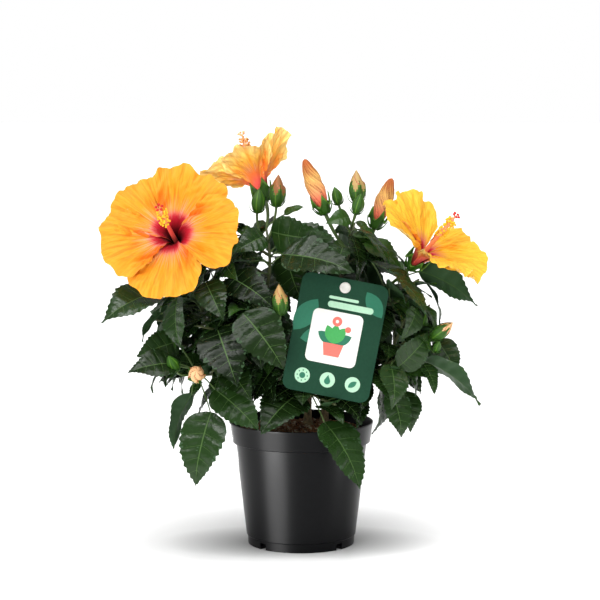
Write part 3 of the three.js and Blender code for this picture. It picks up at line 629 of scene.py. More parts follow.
# greens from deep to young; the darker ones go to leaves inside the crown, partly as painted shade
GREENS = [
    leathery("leaf deep", (0.0048, 0.0118, 0.0028), 0.26, 0.17),
    leathery("leaf dark", (0.0085, 0.0225, 0.0042), 0.26, 0.22),
    leathery("leaf green", (0.0140, 0.0390, 0.0070), 0.27, 0.28),
    leathery("leaf bright", (0.0270, 0.0740, 0.0105), 0.30, 0.30),
    leathery("leaf young", (0.0500, 0.1270, 0.0150), 0.34, 0.30),
]
RIB = foliage("leaf rib", (0.060, 0.120, 0.030), 0.5, Specular_IOR_Level=0.2)
UNDER = foliage("leaf underside", (0.030, 0.070, 0.026), 0.55, Specular_IOR_Level=0.25)
CALYX = [
    foliage("calyx", (0.026, 0.088, 0.006), 0.5, 0.3, Specular_IOR_Level=0.25),
    foliage("calyx edge", (0.080, 0.190, 0.018), 0.5, 0.3, Specular_IOR_Level=0.25),
]
BUD_TIPS = [
    foliage("bud fold", (0.38, 0.12, 0.035), 0.55, 0.3),
    foliage("bud peach", (0.80, 0.46, 0.22), 0.55, 0.3),
    foliage("bud straw", (0.44, 0.28, 0.09), 0.55, 0.3),
    foliage("bud brown", (0.26, 0.095, 0.018), 0.55, 0.3),
]
BUD_LOOKS = {"closed": 0, "peach": 3, "tipped": 3, "straw": 4, "brown": 5}
def petal_face(name, eye, golden):
    """The face of a petal. eye stretches the dark throat; golden turns orange towards yellow."""
    near = vec((0.87, 0.335, 0.014)) + golden * vec((0.06, 0.16, 0.01))
    far = vec((0.88, 0.385, 0.030)) + golden * vec((0.07, 0.19, 0.02))
    glow = 1 + golden
    return petal_material(
        name,
        [
            (0.0, (0.006, 0.0, 0.001)), (0.16 * eye, (0.035 * glow ** 2, 0.0, 0.002 * glow ** 2)),
            (0.26 * eye, (0.17 * glow, 0.001, 0.005 * glow)), (0.34 * eye, (0.42 * glow ** 0.5, 0.003, 0.014 * glow)),
            (0.405 * eye, (0.58 * glow ** 0.3, 0.010, 0.030 * glow)), (0.435 * eye, (0.78, 0.13, 0.09)),
            (0.475 * eye, (0.86, 0.29, 0.04)), (0.60 * eye, tuple(near)), (1.0, tuple(far)),
        ],
        # first pair: share and colour of the deep orange patches and of the painted fold shade
        (0.85 - 0.5 * golden, (0.84, 0.18, 0.004)), (0.42, (0.82, 0.22, 0.006)),
        (0.5, (0.95, 0.60, 0.42)), eye,
    )


PETAL_FACES = {
    "bloom_left": petal_face("petal face left", 1.0, 0.0),
    "bloom_top": petal_face("petal face top", 0.9, 0.6),
    "bloom_right": petal_face("petal face right", 0.78, 1.0),
}
PETAL_BACK = petal_material(
    "petal back",
    [
        (0.0, (0.70, 0.045, 0.04)), (0.22, (0.88, 0.12, 0.09)), (0.34, (0.88, 0.17, 0.045)),
        (0.48, (0.88, 0.26, 0.015)), (0.62, (0.94, 0.45, 0.05)), (0.78, (0.97, 0.60, 0.14)), (1.0, (0.98, 0.70, 0.26)),
    ],
    # first pair: share and colour of the deep orange patches and of the painted fold shade
    (0.75, (0.90, 0.20, 0.008)), (0.5, (0.88, 0.34, 0.03)), (0.5, (0.97, 0.60, 0.40)),
)
COLUMN = foliage("column", (0.72, 0.085, 0.065), 0.5, 0.2)
COLUMN_PALE = foliage("column pale", (0.88, 0.26, 0.11), 0.5, 0.2)
COLUMN_TOP = foliage("column top", (0.90, 0.40, 0.18), 0.5, 0.2)
FILAMENT = foliage("filament", (0.93, 0.50, 0.12), 0.5, 0.1)
ANTHER = foliage("anther", (0.95, 0.55, 0.02), 0.7, 0.5)
ANTHER_PALE = foliage("anther pale", (0.62, 0.27, 0.07), 0.7, 0.3)
STIGMA = foliage("stigma", (0.62, 0.020, 0.010), 0.7, 0.5)
STIGMA_PALE = foliage("stigma pale", (0.90, 0.50, 0.22), 0.7, 0.5)
CARD = grained("card plastic", (0.011, 0.050, 0.027), 0.5, 500, 0.06, 0.0002, 0.08, Specular_IOR_Level=0.15)
PRINTS = [
    grained("card cream", (0.86, 0.86, 0.80), 0.45, 500, 0.05, 0.0002, 0.03),
    grained("card mint", (0.42, 0.68, 0.48), 0.45, 500, 0.05, 0.0002, 0.05),
    grained("card coral", (0.83, 0.17, 0.13), 0.45, 500, 0.05, 0.0002, 0.05),
    grained("card leaf", (0.055, 0.36, 0.09), 0.45, 500, 0.05, 0.0002, 0.05),
    grained("card shade", (0.018, 0.16, 0.09), 0.45, 500, 0.05, 0.0002, 0.05),
]
PIN = grained("pin plastic", (0.68, 0.66, 0.61), 0.4, 300, 0.08, 0.0002, 0.06)


# Lines of the plant, as the part's source draws them

def stem_line(name):
    foot, fork = STEMS[name]
    reach = foot[0] ** 2 + foot[1] ** 2
    ground = POT_HEIGHT - MIX_EDGE_BELOW_RIM + MIX_MOUND * (1 - 0.1 * reach / 400) + GAP + 0.2
    return Bend((*foot, ground), (*foot, (ground + fork[2]) / 2), fork)


def stem_radius(t):
    return STEM_FOOT_RADIUS + (STEM_TOP_RADIUS - STEM_FOOT_RADIUS) * t + ROOT_FLARE * math.exp(-12 * t)


def bough_line(shoot):
    path = stem_line(shoot["stem"])
    start = path.point(shoot["at"])
    end = vec(shoot["bough"])
    if shoot["at"] == 1:
        start = start + path.way(1.0) * GAP
        return Bend(start, start + path.way(1.0) * 0.4 * np.linalg.norm(end - start), end)
    bend = start + (end - start) * 0.6
    bend[2] = start[2] + (end[2] - start[2]) * 0.35
    return Bend(start, bend, end)


def shoot_line(shoot):
    way = bough_line(shoot).way(1.0)
    start = vec(shoot["bough"]) + way * GAP
    end = vec(shoot["tip"])
    return Bend(start, start + way * 0.45 * np.linalg.norm(end - start), end)


def stalk_line(start, foot, axis):
    return Bend(start, foot - axis * 0.5 * np.linalg.norm(foot - start), foot)


def nearest_on(line, place):
    tenths = [line.point((i + 1) / 10) for i in range(10)]
    return min(tenths, key=lambda point: np.linalg.norm(point - place))


def out_of(line, t, bearing, onward, upward):
    way = line.way(t)
    aside = unit(np.cross((0, 0, 1), way))
    third = np.cross(way, aside)
    turn = math.radians(bearing)
    radial = aside * math.cos(turn) + third * math.sin(turn)
    return unit(radial * 0.85 + way * onward + vec((0, 0, upward)))


def outwards(place, share):
    return unit(vec((place[0], place[1], 0))) * share


def twig_line(shoot, line, seed, j, attempt):
    _, turn, _, twigs = shoot["spiral"]
    t = 0.12 + 0.7 * (j + 0.4) / twigs
    start = line.point(t)
    way = unit(out_of(line, t, turn + 60 + GOLDEN_ANGLE * j + 40 * attempt, 0.3, 0.15) + outwards(start, 0.3))
    length = TWIG_LENGTH * (0.8 + 0.4 * chance(seed, j, attempt + 50))
    end = start + way * length + vec((0, 0, 0.12 * length))
    return Bend(start, start + way * 0.5 * length, end)


def spiral_leaf(lines, shoot, seed, k, attempt):
    count, turn, length, _ = shoot["spiral"]
    line = lines[k % len(lines)]
    places = math.ceil(count / len(lines))
    t = 0.28 + 0.7 * (k // len(lines) + 0.4 + 0.6 * chance(seed, k, 3)) / places
    start = line.point(t)
    size = length * (1.04 - 0.25 * t - 0.018 * attempt) * (0.86 + 0.28 * chance(seed, k, attempt))
    lift = out_of(line, t, turn + GOLDEN_ANGLE * k + 47 * attempt, 0.4, 0.3)
    base = start + lift * size * (0.22 + 0.22 * chance(seed, k, attempt + 20))
    dip = math.radians(12 + 60 * chance(seed, k, attempt + 40))
    flat = unit(vec((lift[0], lift[1], 0)) + outwards(start, 0.5))
    fall = flat * math.cos(dip) + vec((0, 0, -math.sin(dip)))
    roll = 36 * (chance(seed, k, attempt + 60) - 0.5)
    return start, base, base + fall * size, roll


def posed_leaf(line, pose, attempt):
    base, tip, roll = pose
    shift = vec((0, (4 if attempt % 2 == 0 else -4) * math.ceil(attempt / 2), 0))
    return nearest_on(line, vec(base)), vec(base) + shift, vec(tip) + shift, roll


def in_crown(place):
    return float(np.sum(np.abs((place - CROWN_MIDDLE) / CROWN_HALF) ** CROWN_ROUNDNESS)) < 1


def blade_axes(base, tip, roll):
    along = unit(tip - base)
    facing = outwards(base, FACE_OUT) + vec((0, 0, FACE_UP))
    normal = unit(facing - along * facing.dot(along))
    turn = math.radians(roll)
    normal = normal * math.cos(turn) + np.cross(along, normal) * math.sin(turn)
    return along, normal, np.cross(normal, along)


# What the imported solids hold: a candidate of the rule was grown if its tip is a corner there.

def corners_of(node):
    mesh = frame["nodes"][node].data
    tree = KDTree(len(mesh.vertices))
    for i, vertex in enumerate(mesh.vertices):
        tree.insert(vertex.co / MM, i)
    tree.balance()
    return tree


def grown_at(tree, place):
    return tree.find(Vector(place))[2] < SAME_PLACE


def twig_corner(line):
    """The first corner of a twig's end ring."""
    axis = unit(line.point(1.0) - line.point(0.0))
    aside = vec((1, 0, 0)) if abs(axis[0]) < 0.7 else vec((0, 1, 0))
    way = line.way(1.0)
    across = unit(aside - way * aside.dot(way))
    return line.point(1.0) + np.cross(across, way) * TWIG_RADIUS * 0.85


def grow(shoot, seed):
    """The lines and leaves of one mass: every candidate that its solid holds."""
    tree = corners_of("foliage_" + shoot["name"])
    line = shoot_line(shoot)
    lines, leaves = [line], []
    for pose in shoot.get("posed", []):
        tries = (posed_leaf(line, pose, attempt) for attempt in range(TRIES))
        leaves += [next((leaf for leaf in tries if grown_at(tree, leaf[2])), None)]
    for j in range(shoot["spiral"][3]):
        tries = (twig_line(shoot, line, seed, j, attempt) for attempt in range(TRIES))
        found = next((twig for twig in tries if grown_at(tree, twig_corner(twig))), None)
        lines += [found] if found else []
    for k in range(shoot["spiral"][0]):
        tries = (spiral_leaf(lines, shoot, seed, k, attempt) for attempt in range(TRIES))
        leaves += [next((leaf for leaf in tries if grown_at(tree, leaf[2])), None)]
    return lines, [leaf for leaf in leaves if leaf]


def surface_of(*nodes):
    points, faces = [], []
    for node in nodes:
        mesh = frame["nodes"][node].data
        start = len(points)
        points += [vertex.co / MM for vertex in mesh.vertices]
        faces += [[start + i for i in polygon.vertices] for polygon in mesh.polygons]
    return BVHTree.FromPolygons(points, faces)


MASS_NODES = ["foliage_" + shoot["name"] for shoot in SHOOTS]
FLOWER_NODES = [flower["name"] for flower in BLOOMS + TALL_BUDS]
SHOWN = surface_of("pot", "care_card", "card_pin", *FLOWER_NODES)
CROWN = surface_of(*MASS_NODES, *FLOWER_NODES, "care_card")
EYE = vec(CAMERA_AT) / MM


def in_core(place):
    """Inside the crown's dark middle, where small leaves may close gaps."""
    return float(np.sum(((place - CROWN_MIDDLE) / CORE_HALF) ** 2)) < 1


def fits(places):
    """True if a small leaf hides no flower or card, and closes no gap in the crown, as seen from the front."""
    for place in places:
        sight = Vector(unit(place - EYE))
        if SHOWN.find_nearest(Vector(place))[3] < 7:
            return False
        if SHOWN.ray_cast(Vector(place), sight)[0] is not None:
            return False
        if not in_core(place) and CROWN.ray_cast(Vector(EYE), sight)[0] is None:
            return False
    return True


# One leaf: a toothed blade, folded along its midrib and quilted between its side veins.

LEAF_ROWS = 24
LEAF_COLUMNS = np.array([-1, -0.8, -0.54, -0.27, -0.028, 0.028, 0.27, 0.54, 0.8, 1])
LEAF_VEINS = 6
LEAF_SKIN = 0.3
VEIN_ROWS = (3, 7, 11, 15, 19)
VEIN_WIDTH = 0.34
RIB_KIND = len(GREENS)
UNDER_KIND = len(GREENS) + 1
MIDDLE_COLUMN = 4


def blade(base, tip, roll, number, width, calm):
    """The upper and lower points of a blade, row by row. calm is less than 1 where it has to lie flat."""
    length = np.linalg.norm(tip - base)
    along, normal, across = blade_axes(base, tip, roll)
    rows = np.linspace(0.004, 0.996, LEAF_ROWS + 1)[:, None]
    w = LEAF_COLUMNS[None, :]
    t = rows + 0.42 * rows * (1 - rows) * np.abs(w)
    half = width * length * np.sqrt(t) * (1 - t) ** 1.1 / 0.37
    keen = np.array([[0.5 + chance(number, i, side) for side in (1, 2)] for i in range(LEAF_ROWS + 1)])
    keen = np.where(w < 0, keen[:, :1], keen[:, 1:])
    tooth = np.where(np.arange(LEAF_ROWS + 1)[:, None] % 2 == 0, keen, -0.3) * smooth(t, 0.15, 0.4)
    edge = (np.abs(w) == 1) * tooth
    x = w * half * (1 + 0.07 * edge)
    y = t * length + edge * 0.012 * length
    arch = LEAF_ARCH * length * 4 * t * (1 - t)
    fold = np.abs(w) * half * LEAF_FOLD
    pillow = 0.5 - 0.5 * np.cos(2 * math.pi * LEAF_VEINS * (rows + 1 / 24))
    swell = 0.6 + 0.8 * np.sin(5 * rows + 9 * chance(number, 4) + 2 * np.sign(w)) ** 2
    quilt = 0.027 * length * pillow * swell * (1 - np.abs(w) ** 3) * np.minimum(1, np.abs(w) * 3)
    phase = 6.28 * chance(number, 5)
    wave = 0.035 * length * np.sin(9 * t + phase + np.sign(w)) * w ** 2 * smooth(t, 0.05, 0.4)
    curl = -0.05 * length * (0.3 + chance(number, 6)) * smooth(t, 0.62, 1) ** 2
    z = arch + fold + quilt * smooth(half, 0, 6) + calm * (wave + curl)
    top = base + x[..., None] * across + y[..., None] * along + z[..., None] * normal
    skin = LEAF_SKIN * (1 - np.abs(w) ** 8) * smooth(half, 0, 1.5)
    return top, top - skin[..., None] * normal


LEAF_FACES = grid_faces(LEAF_ROWS, len(LEAF_COLUMNS) - 1)
LEAF_BACKS = grid_faces(LEAF_ROWS, len(LEAF_COLUMNS) - 1, flip=True)


def vein_ribbons(top):
    """Narrow ribbons on the upper face, from the midrib out along some of its rows."""
    along = (top[-1, 4] - top[0, 4]) / np.linalg.norm(top[-1, 4] - top[0, 4])
    points, faces = [], []
    for row in VEIN_ROWS:
        for columns in ((5, 6, 7, 8), (4, 3, 2, 1)):
            start = len(points)
            for n, column in enumerate(columns):
                spot = top[row, column]
                side = top[row, min(column + 1, 9)] - top[row, column - 1]
                up = np.cross(along, side)
                lift = up / np.linalg.norm(up) * 0.14
                half = VEIN_WIDTH / 2 * (1 - 0.2 * n)
                points += [spot - along * half + lift, spot + along * half + lift]
            turn = columns[0] == 5
            for n in range(3):
                a = start + 2 * n
                face = [a, a + 2, a + 3, a + 1]
                faces.append(face if turn else face[::-1])
    return points, faces


def add_leaf(heap, leaf, number, green):
    start, base, tip, roll = leaf
    width = LEAF_HALF_WIDTH * (0.92 + 0.16 * chance(number, 7))
    top, low = blade(base, tip, roll, number, width, 1)
    if min(SHOWN.find_nearest(Vector(point))[3] for point in top[::3, ::3].reshape(-1, 3)) < 2.5:
        top, low = blade(base, tip, roll, number, width, 0.1)
    ribs = [i % (len(LEAF_COLUMNS) - 1) == MIDDLE_COLUMN for i in range(len(LEAF_FACES))]
    heap.add(top.reshape(-1, 3), LEAF_FACES, [RIB_KIND if rib else green for rib in ribs])
    heap.add(low.reshape(-1, 3), LEAF_BACKS, [RIB_KIND if rib else UNDER_KIND for rib in ribs])
    heap.add(*vein_ribbons(top), RIB_KIND)


def add_petiole(heap, leaf):
    start, base, tip, _ = leaf
    reach = np.linalg.norm(base - start)
    curve = Bend(start, (start + base) / 2 + vec((0, 0, 0.10 * reach)), base + unit(tip - base) * 1.5)
    radius = PETIOLE_RADIUS * (0.8 if reach < 10 else 1)
    points, faces = tube(curve, taper(radius * 1.15, radius * 0.8), 6, 5)
    heap.add(points, faces, 1)


def green_and_crown_shade_of(leaf, number):
    """Bright leaves high up and at the rim of the crown, dark ones inside and low down: partly the paler green of young
    leaves, partly painted shade inside the crown.
    """
    tip = leaf[2]
    out = float(np.sum(((tip - CROWN_MIDDLE) / CROWN_HALF)[[0, 2]] ** 2))
    # lightness by place: darker inside the crown as painted shade, lighter at its rim and top, partly young leaves and
    # partly painted light
    light = 1.3 * out + 0.004 * (tip[2] - 180) + 0.3 * smooth(tip[2], 250, 282) + 1.5 * chance(number, 8)
    return int(np.clip(light * 1.2, 0, 3.99))


masses = [(shoot, i + 1, *grow(shoot, i + 1)) for i, shoot in enumerate(SHOOTS)]
print("leaves found", [len(leaves) for _, _, _, leaves in masses])
print("twigs found", [len(lines) - 1 for _, _, lines, _ in masses])


def small_leaf(lines, shoot, seed, k, attempt):
    """A smaller leaf between the others, by the same spiral with its own numbers."""
    line = lines[k % len(lines)]
    t = 0.2 + 0.8 * chance(seed + 40, k, attempt)
    start = line.point(t)
    size = 18 + 22 * chance(seed + 41, k, attempt)
    lift = out_of(line, t, shoot["spiral"][1] + 70 + GOLDEN_ANGLE * k + 61 * attempt, 0.5, 0.45)
    base = start + lift * size * (0.18 + 0.3 * chance(seed + 42, k, attempt))
    dip = math.radians(-25 + 75 * chance(seed + 43, k, attempt))
    flat = unit(vec((lift[0], lift[1], 0)) + outwards(start, 0.4))
    fall = flat * math.cos(dip) + vec((0, 0, -math.sin(dip)))
    return start, base, base + fall * size, 50 * (chance(seed + 44, k, attempt) - 0.5)


SMALL_LEAVES = 17


def small_leaves(lines, shoot, seed):
    found = []
    for k in range(SMALL_LEAVES):
        for attempt in range(6):
            leaf = small_leaf(lines, shoot, seed, k, attempt)
            middle = (leaf[1] + leaf[2]) / 2
            if in_crown(leaf[2]) and fits((leaf[1], middle, leaf[2])):
                found.append(leaf)
                break
    return found


def make_leaves():
    wood = Heap()
    number = 0
    groups = {"left": range(0, 6), "middle": range(6, 11), "right": range(11, 17)}
    for side, members in groups.items():
        heap = Heap()
        for i in members:
            shoot, seed, lines, leaves = masses[i]
            for leaf in leaves:
                number += 1
                add_leaf(heap, leaf, number, green_and_crown_shade_of(leaf, number))
                add_petiole(wood, leaf)
            for leaf in small_leaves(lines, shoot, seed):
                number += 1
                add_leaf(heap, leaf, number, min(4, green_and_crown_shade_of(leaf, number) + 1))
                add_petiole(wood, leaf)
        nodes = [MASS_NODES[i] for i in members]
        heap.make("leaves_" + side, [*GREENS, RIB, UNDER], "leaf", nodes)
    for shoot, _, lines, _ in masses:
        for k, line in enumerate(lines):
            radius = taper(BOUGH_TIP_RADIUS, SHOOT_TIP_RADIUS * 0.8) if k == 0 else taper(TWIG_RADIUS, 0.9)
            points, faces = tube(line, radius, 8, 14, knots(k + seed_of(shoot)), first=-0.02 if k == 0 else 0)
            wood.add(points, faces, 0)
    return wood


def seed_of(shoot):
    return SHOOTS.index(shoot) + 1


def knots(number):
    """Small swellings where leaves have stood."""
    return lambda t, angle: 0.35 * math.exp(-((t * 7 + chance(number, 9)) % 1 - 0.5) ** 2 / 0.006)


def bark_relief(seed, depth):
    def relief(t, angle):
        ridge = noise.noise((math.cos(angle) * 2.2, math.sin(angle) * 2.2, t * 3 + seed))
        grain = noise.noise((math.cos(angle) * 5, math.sin(angle) * 5, t * 22 + seed))
        scar = 0.5 * math.exp(-((t * 6 + 0.3 * math.sin(angle + seed)) % 1 - 0.5) ** 2 / 0.004)
        return depth * (ridge + 0.7 * grain + scar)
    return relief


def make_wood():
    stems, boughs = Heap(), Heap()
    for i, name in enumerate(STEMS):
        points, faces = tube(stem_line(name), stem_radius, 28, 60, bark_relief(i, 0.42), first=-0.03)
        stems.add(points, faces)
    for i, shoot in enumerate(SHOOTS):
        radius = taper(BOUGH_FOOT_RADIUS, BOUGH_TIP_RADIUS)
        points, faces = tube(bough_line(shoot), radius, 18, 48, bark_relief(i + 7, 0.25))
        boughs.add(points, faces)
    stems.make("stems_bark", [STEM_BARK], "bark", ["stem_" + name for name in STEMS])
    boughs.make("boughs_bark", [BOUGH_BARK], "bark", ["bough_" + shoot["name"] for shoot in SHOOTS])


# Flowers

def petal_line(flare, length):
    steps = 40
    line = [(THROAT_RADIUS, 0.0, 0.0)]
    for i in range(1, steps + 1):
        s = i / steps
        lean = math.radians(12 + (flare - 12) * smooth(s, 0.12, 0.5) + 18 * smooth(s, 0.72, 1))
        r, h, _ = line[-1]
        line.append((r + length / steps * math.sin(lean), h + length / steps * math.cos(lean), lean))
    table = np.array(line)
    stations = np.arange(steps + 1) / steps
    return lambda s: [np.interp(s, stations, table[:, c]) for c in range(3)]


PETAL_ROWS = 60
PETAL_COLUMNS = 64
PETAL_SKIN = 0.7
CRINKLED = {"bloom_top": 1.0, "bloom_right": 0.9}
NOTCHED = {"bloom_top": 0.35}


def petal(heap, bloom, k, seed):
    """One petal: the source's surface, with veins pressed into it and a frilled, notched margin."""
    line_at = petal_line(bloom["flare"] + bloom["bends"][k], PETAL_LENGTH * bloom["size"])
    u = np.linspace(0, 1, PETAL_ROWS + 1)[:, None]
    v = np.linspace(0, 1, PETAL_COLUMNS + 1)[None, :]
    w = 2 * v - 1
    notch = np.array([[
        0.08 * noise.noise((3.1 * v[0, j], seed, k)) + 0.045 * noise.noise((9 * v[0, j], seed, k + 9))
        for j in range(PETAL_COLUMNS + 1)
    ]])
    notch = NOTCHED.get(bloom["name"], 1) * notch * smooth(u, 0.7, 1)
    r, h, lean = line_at(u * (1 - bloom["rounding"] * np.abs(w) ** 3 + notch))
    bearing = np.radians(bloom["turn"] + 72 * k + bloom["shifts"][k] + w * PETAL_SPREAD)
    ruffle = u ** 3 * (3 * np.sin(11 * bearing + seed) + 1.8 * np.sin(4 * bearing + 2 * seed))
    frill = u ** 5 * (1.2 * np.sin(29 * bearing + seed + k) + 0.8 * np.sin(61 * bearing + 2 * k + 4 * u)) * np.cos(5 * w + k)
    crease = 1.3 * smooth(u, 0.25, 0.6) * np.sin(7 * w + 2.2 * k + seed) * (1 - u * 0.5)
    crease = crease + 1.2 * smooth(u, 0.35, 0.7) * np.sin(15 * w + 5 * u + 3 * k) * np.cos(7 * u + 4 * w + k)
    crease = crease + 0.5 * smooth(u, 0.3, 0.6) * np.sin(34 * w + 8 * u + k) * np.cos(19 * u + 9 * w)
    crinkle = 0.7 * np.sin(21 * w + 9 * u + k) * np.cos(29 * u + 6 * w + seed) * smooth(u, 0.45, 0.8)
    crinkle = crinkle + 0.4 * np.sin(33 * w + 14 * u + 2 * k) * np.cos(41 * u - 9 * w + seed) * smooth(u, 0.5, 0.8)
    pleat = 1.5 * smooth(w, 0.5, 0.8) * np.sin(36 * u + 5 * w + k) * smooth(u, 0.3, 0.5) * (1 - smooth(u, 0.75, 0.95))
    crease = CRINKLED.get(bloom["name"], 1) * (crease + crinkle) + pleat
    vein = 0.16 * np.abs(np.sin(w * 26)) * smooth(u, 0.1, 0.3)
    for side in (1, -1):
        off = PETAL_LIFT * w + ruffle + frill + crease + vein + side * PETAL_SKIN / 2 * (1 - u ** 30)
        radius = r - off * np.cos(lean)
        spot = np.stack([radius * np.cos(bearing), radius * np.sin(bearing), h + off * np.sin(lean)], axis=-1)
        points = vec(bloom["base"]) + spot.reshape(-1, 3) @ turned_to(bloom["axis"]).T
        places = np.stack([u + 0 * v, v + 0 * u + 2 * k + 13 * seed], axis=-1).reshape(-1, 2)
        heap.add(points, grid_faces(PETAL_ROWS, PETAL_COLUMNS, flip=side < 0), 0 if side > 0 else 1, places)


def blob(radius, sides=6):
    """A small rounded grain."""
    profile = [(0.05, -1), (0.75, -0.6), (1, 0), (0.75, 0.6), (0.05, 1)]
    points, faces = lathe([(r * radius, h * radius) for r, h in profile], sides)
    return points, faces


def column(heap, bloom, seed):
    """The staminal column with its filaments, anthers and five stigma pads."""
    height = bloom["column"] * bloom["size"]
    turn = turned_to(bloom["axis"])
    base = vec(bloom["base"])
    line = Bend((0, 0, 0), (0, 0, height * 0.6), (0, 4, height))

    def put(points, faces, kind):
        heap.add(base + np.asarray(points) @ turn.T, faces, kind)

    put(*tube(line, lambda t: 2.2 - 0.9 * t, 14, 20, last=0.55, cap=False), 0)
    put(*tube(line, lambda t: 2.2 - 0.9 * t, 14, 16, first=0.55, last=0.9), 1)
    grain = blob(1.1)
    for n in range(62):
        t = 0.55 + 0.32 * chance(n, seed, 1)
        angle = math.radians(GOLDEN_ANGLE * n)
        way = line.way(t)
        side = unit(np.cross(way, (math.cos(angle), math.sin(angle), 0.1)))
        start = line.point(t)
        end = start + side * (3.0 + 2.2 * chance(n, seed, 2)) + way * (0.6 + 1.6 * chance(n, seed, 3))
        put(*tube(Bend(start, (start + end) / 2 + way * 0.4, end), taper(0.28, 0.2), 4, 2), 2)
        put(grain[0] * (0.85 + 0.35 * chance(n, seed, 4)) + end, grain[1], 3)
    pad = blob(1.35, 8)
    top = line.point(0.88)
    for n in range(PETALS):
        angle = math.radians(72 * n + 20 * seed)
        aside = vec((math.cos(angle), math.sin(angle), 0))
        end = line.point(1.0) + aside * 2.7 - line.way(1.0) * 0.7
        put(*tube(Bend(top, line.point(0.96), end), taper(0.5, 0.4), 6, 5), 1)
        put(pad[0] * vec((1, 1, 0.75)) + end, pad[1], 4)


def calyx(heap, flower, mouth):
    """A ribbed cup with five pointed lobes, in a ring of narrow bracts."""
    turn = turned_to(flower["axis"])
    base = vec(flower["base"])
    sides = 50
    profile = [(0.6, -4.4), (2.3, -4.2), (3.9, -2.8), (5.0, -0.8), (5.8, 1.6)]
    profile += [(5.6 + (mouth - 5.6) * s, 15 * s) for s in (0.3, 0.5, 0.7, 0.85, 1)]
    inner = [(r - 0.8, h) for r, h in profile[:3:-1]]
    reach = [max(0, h) / CALYX_HEIGHT for _, h in profile + inner]

    def lobes(k, angle):
        point = (1 - abs(math.sin(2.5 * angle))) ** 0.8
        rib = 0.7 * abs(math.cos(2.5 * angle)) ** 6 - 0.25
        return rib * (1 - 0.5 * reach[k]), -reach[k] ** 2 * CALYX_HEIGHT * 0.72 * (1 - point)

    points, faces = lathe(profile + inner, sides, lobes)
    kinds = [1 if (i // sides) in (7, 8, 9) else 0 for i in range(len(faces))]
    heap.add(base + points @ turn.T, faces, kinds)
    for n in range(8):
        angle = 2 * math.pi * n / 8 + 0.3
        aside = vec((math.cos(angle), math.sin(angle), 0))
        up = vec((0, 0, 1))
        curve = Bend(aside * 3.2 - up * 3.5, aside * 8.5 - up * 0.5, aside * 10.2 + up * 6.5)
        points, faces = tube(curve, lambda t: 1.0 - 0.85 * t, 5, 5)
        heap.add(base + np.asarray(points) @ turn.T, faces, 0)


def furled(length, radius, seed, turns=0.55):
    """A closed bud of five petals wound round each other."""
    rows = 36
    sides = 60
    points, places = [], []
    for i in range(rows + 1):
        s = i / rows
        swell = np.interp(s, (0, 0.06, 0.2, 0.4, 0.6, 0.78, 0.92, 0.98, 1), (0.45, 0.6, 0.84, 1, 0.98, 0.74, 0.45, 0.26, 0.04))
        for j in range(sides):
            angle = 2 * math.pi * j / sides
            phase = (5 * (angle / (2 * math.pi) + turns * s) + 0.1 * math.sin(9 * s + seed)) % 1
            r = radius * swell * (0.82 + 0.18 * phase)
            points.append((r * math.cos(angle), r * math.sin(angle), length * s))
            places.append((s, phase))
    return np.array(points), grid_faces(rows, sides, closed=True), places


def tall_bud_material():
    material = shader("furled petals", (0.8, 0.3, 0.08), 0.6, Specular_IOR_Level=0.15)
    nodes, links, principled = parts_of(material)
    layer, along, phase = placed_values(material)
    stretch = nodes.new("ShaderNodeMapping")
    stretch.inputs["Scale"].default_value = (1.2, 14, 1)
    links.new(layer.outputs["UV"], stretch.inputs["Vector"])
    lines = nodes.new("ShaderNodeTexNoise")
    lines.inputs["Scale"].default_value = 1.5
    links.new(stretch.outputs["Vector"], lines.inputs["Vector"])
    base = ramp_node(material, along, [
        (0.0, (0.62, 0.07, 0.04)), (0.26, (0.84, 0.20, 0.11)), (0.40, (0.84, 0.38, 0.15)),
        (0.65, (0.80, 0.46, 0.13)), (0.92, (0.52, 0.15, 0.04)),
    ])
    fold = mask_node(material, phase, [(0, 1), (0.13, 0.25), (0.3, 0), (0.8, 0), (0.9, 0.5), (1, 1)])
    dark = mix_node(material, math_node(material, "MULTIPLY", fold, 0.9), base, (0.20, 0.025, 0.008))
    fibre = mask_node(material, lines.outputs["Fac"], [(0.40, 1), (0.47, 0)])
    marked = math_node(material, "MULTIPLY", fibre, mask_node(material, along, [(0.2, 0.15), (0.45, 0.9)]))
    colour = mix_node(material, marked, dark, (0.26, 0.045, 0.012))
    links.new(colour, principled.inputs["Base Color"])
    bump(material, lines.outputs["Fac"], 0.4, 0.0008)
    return material


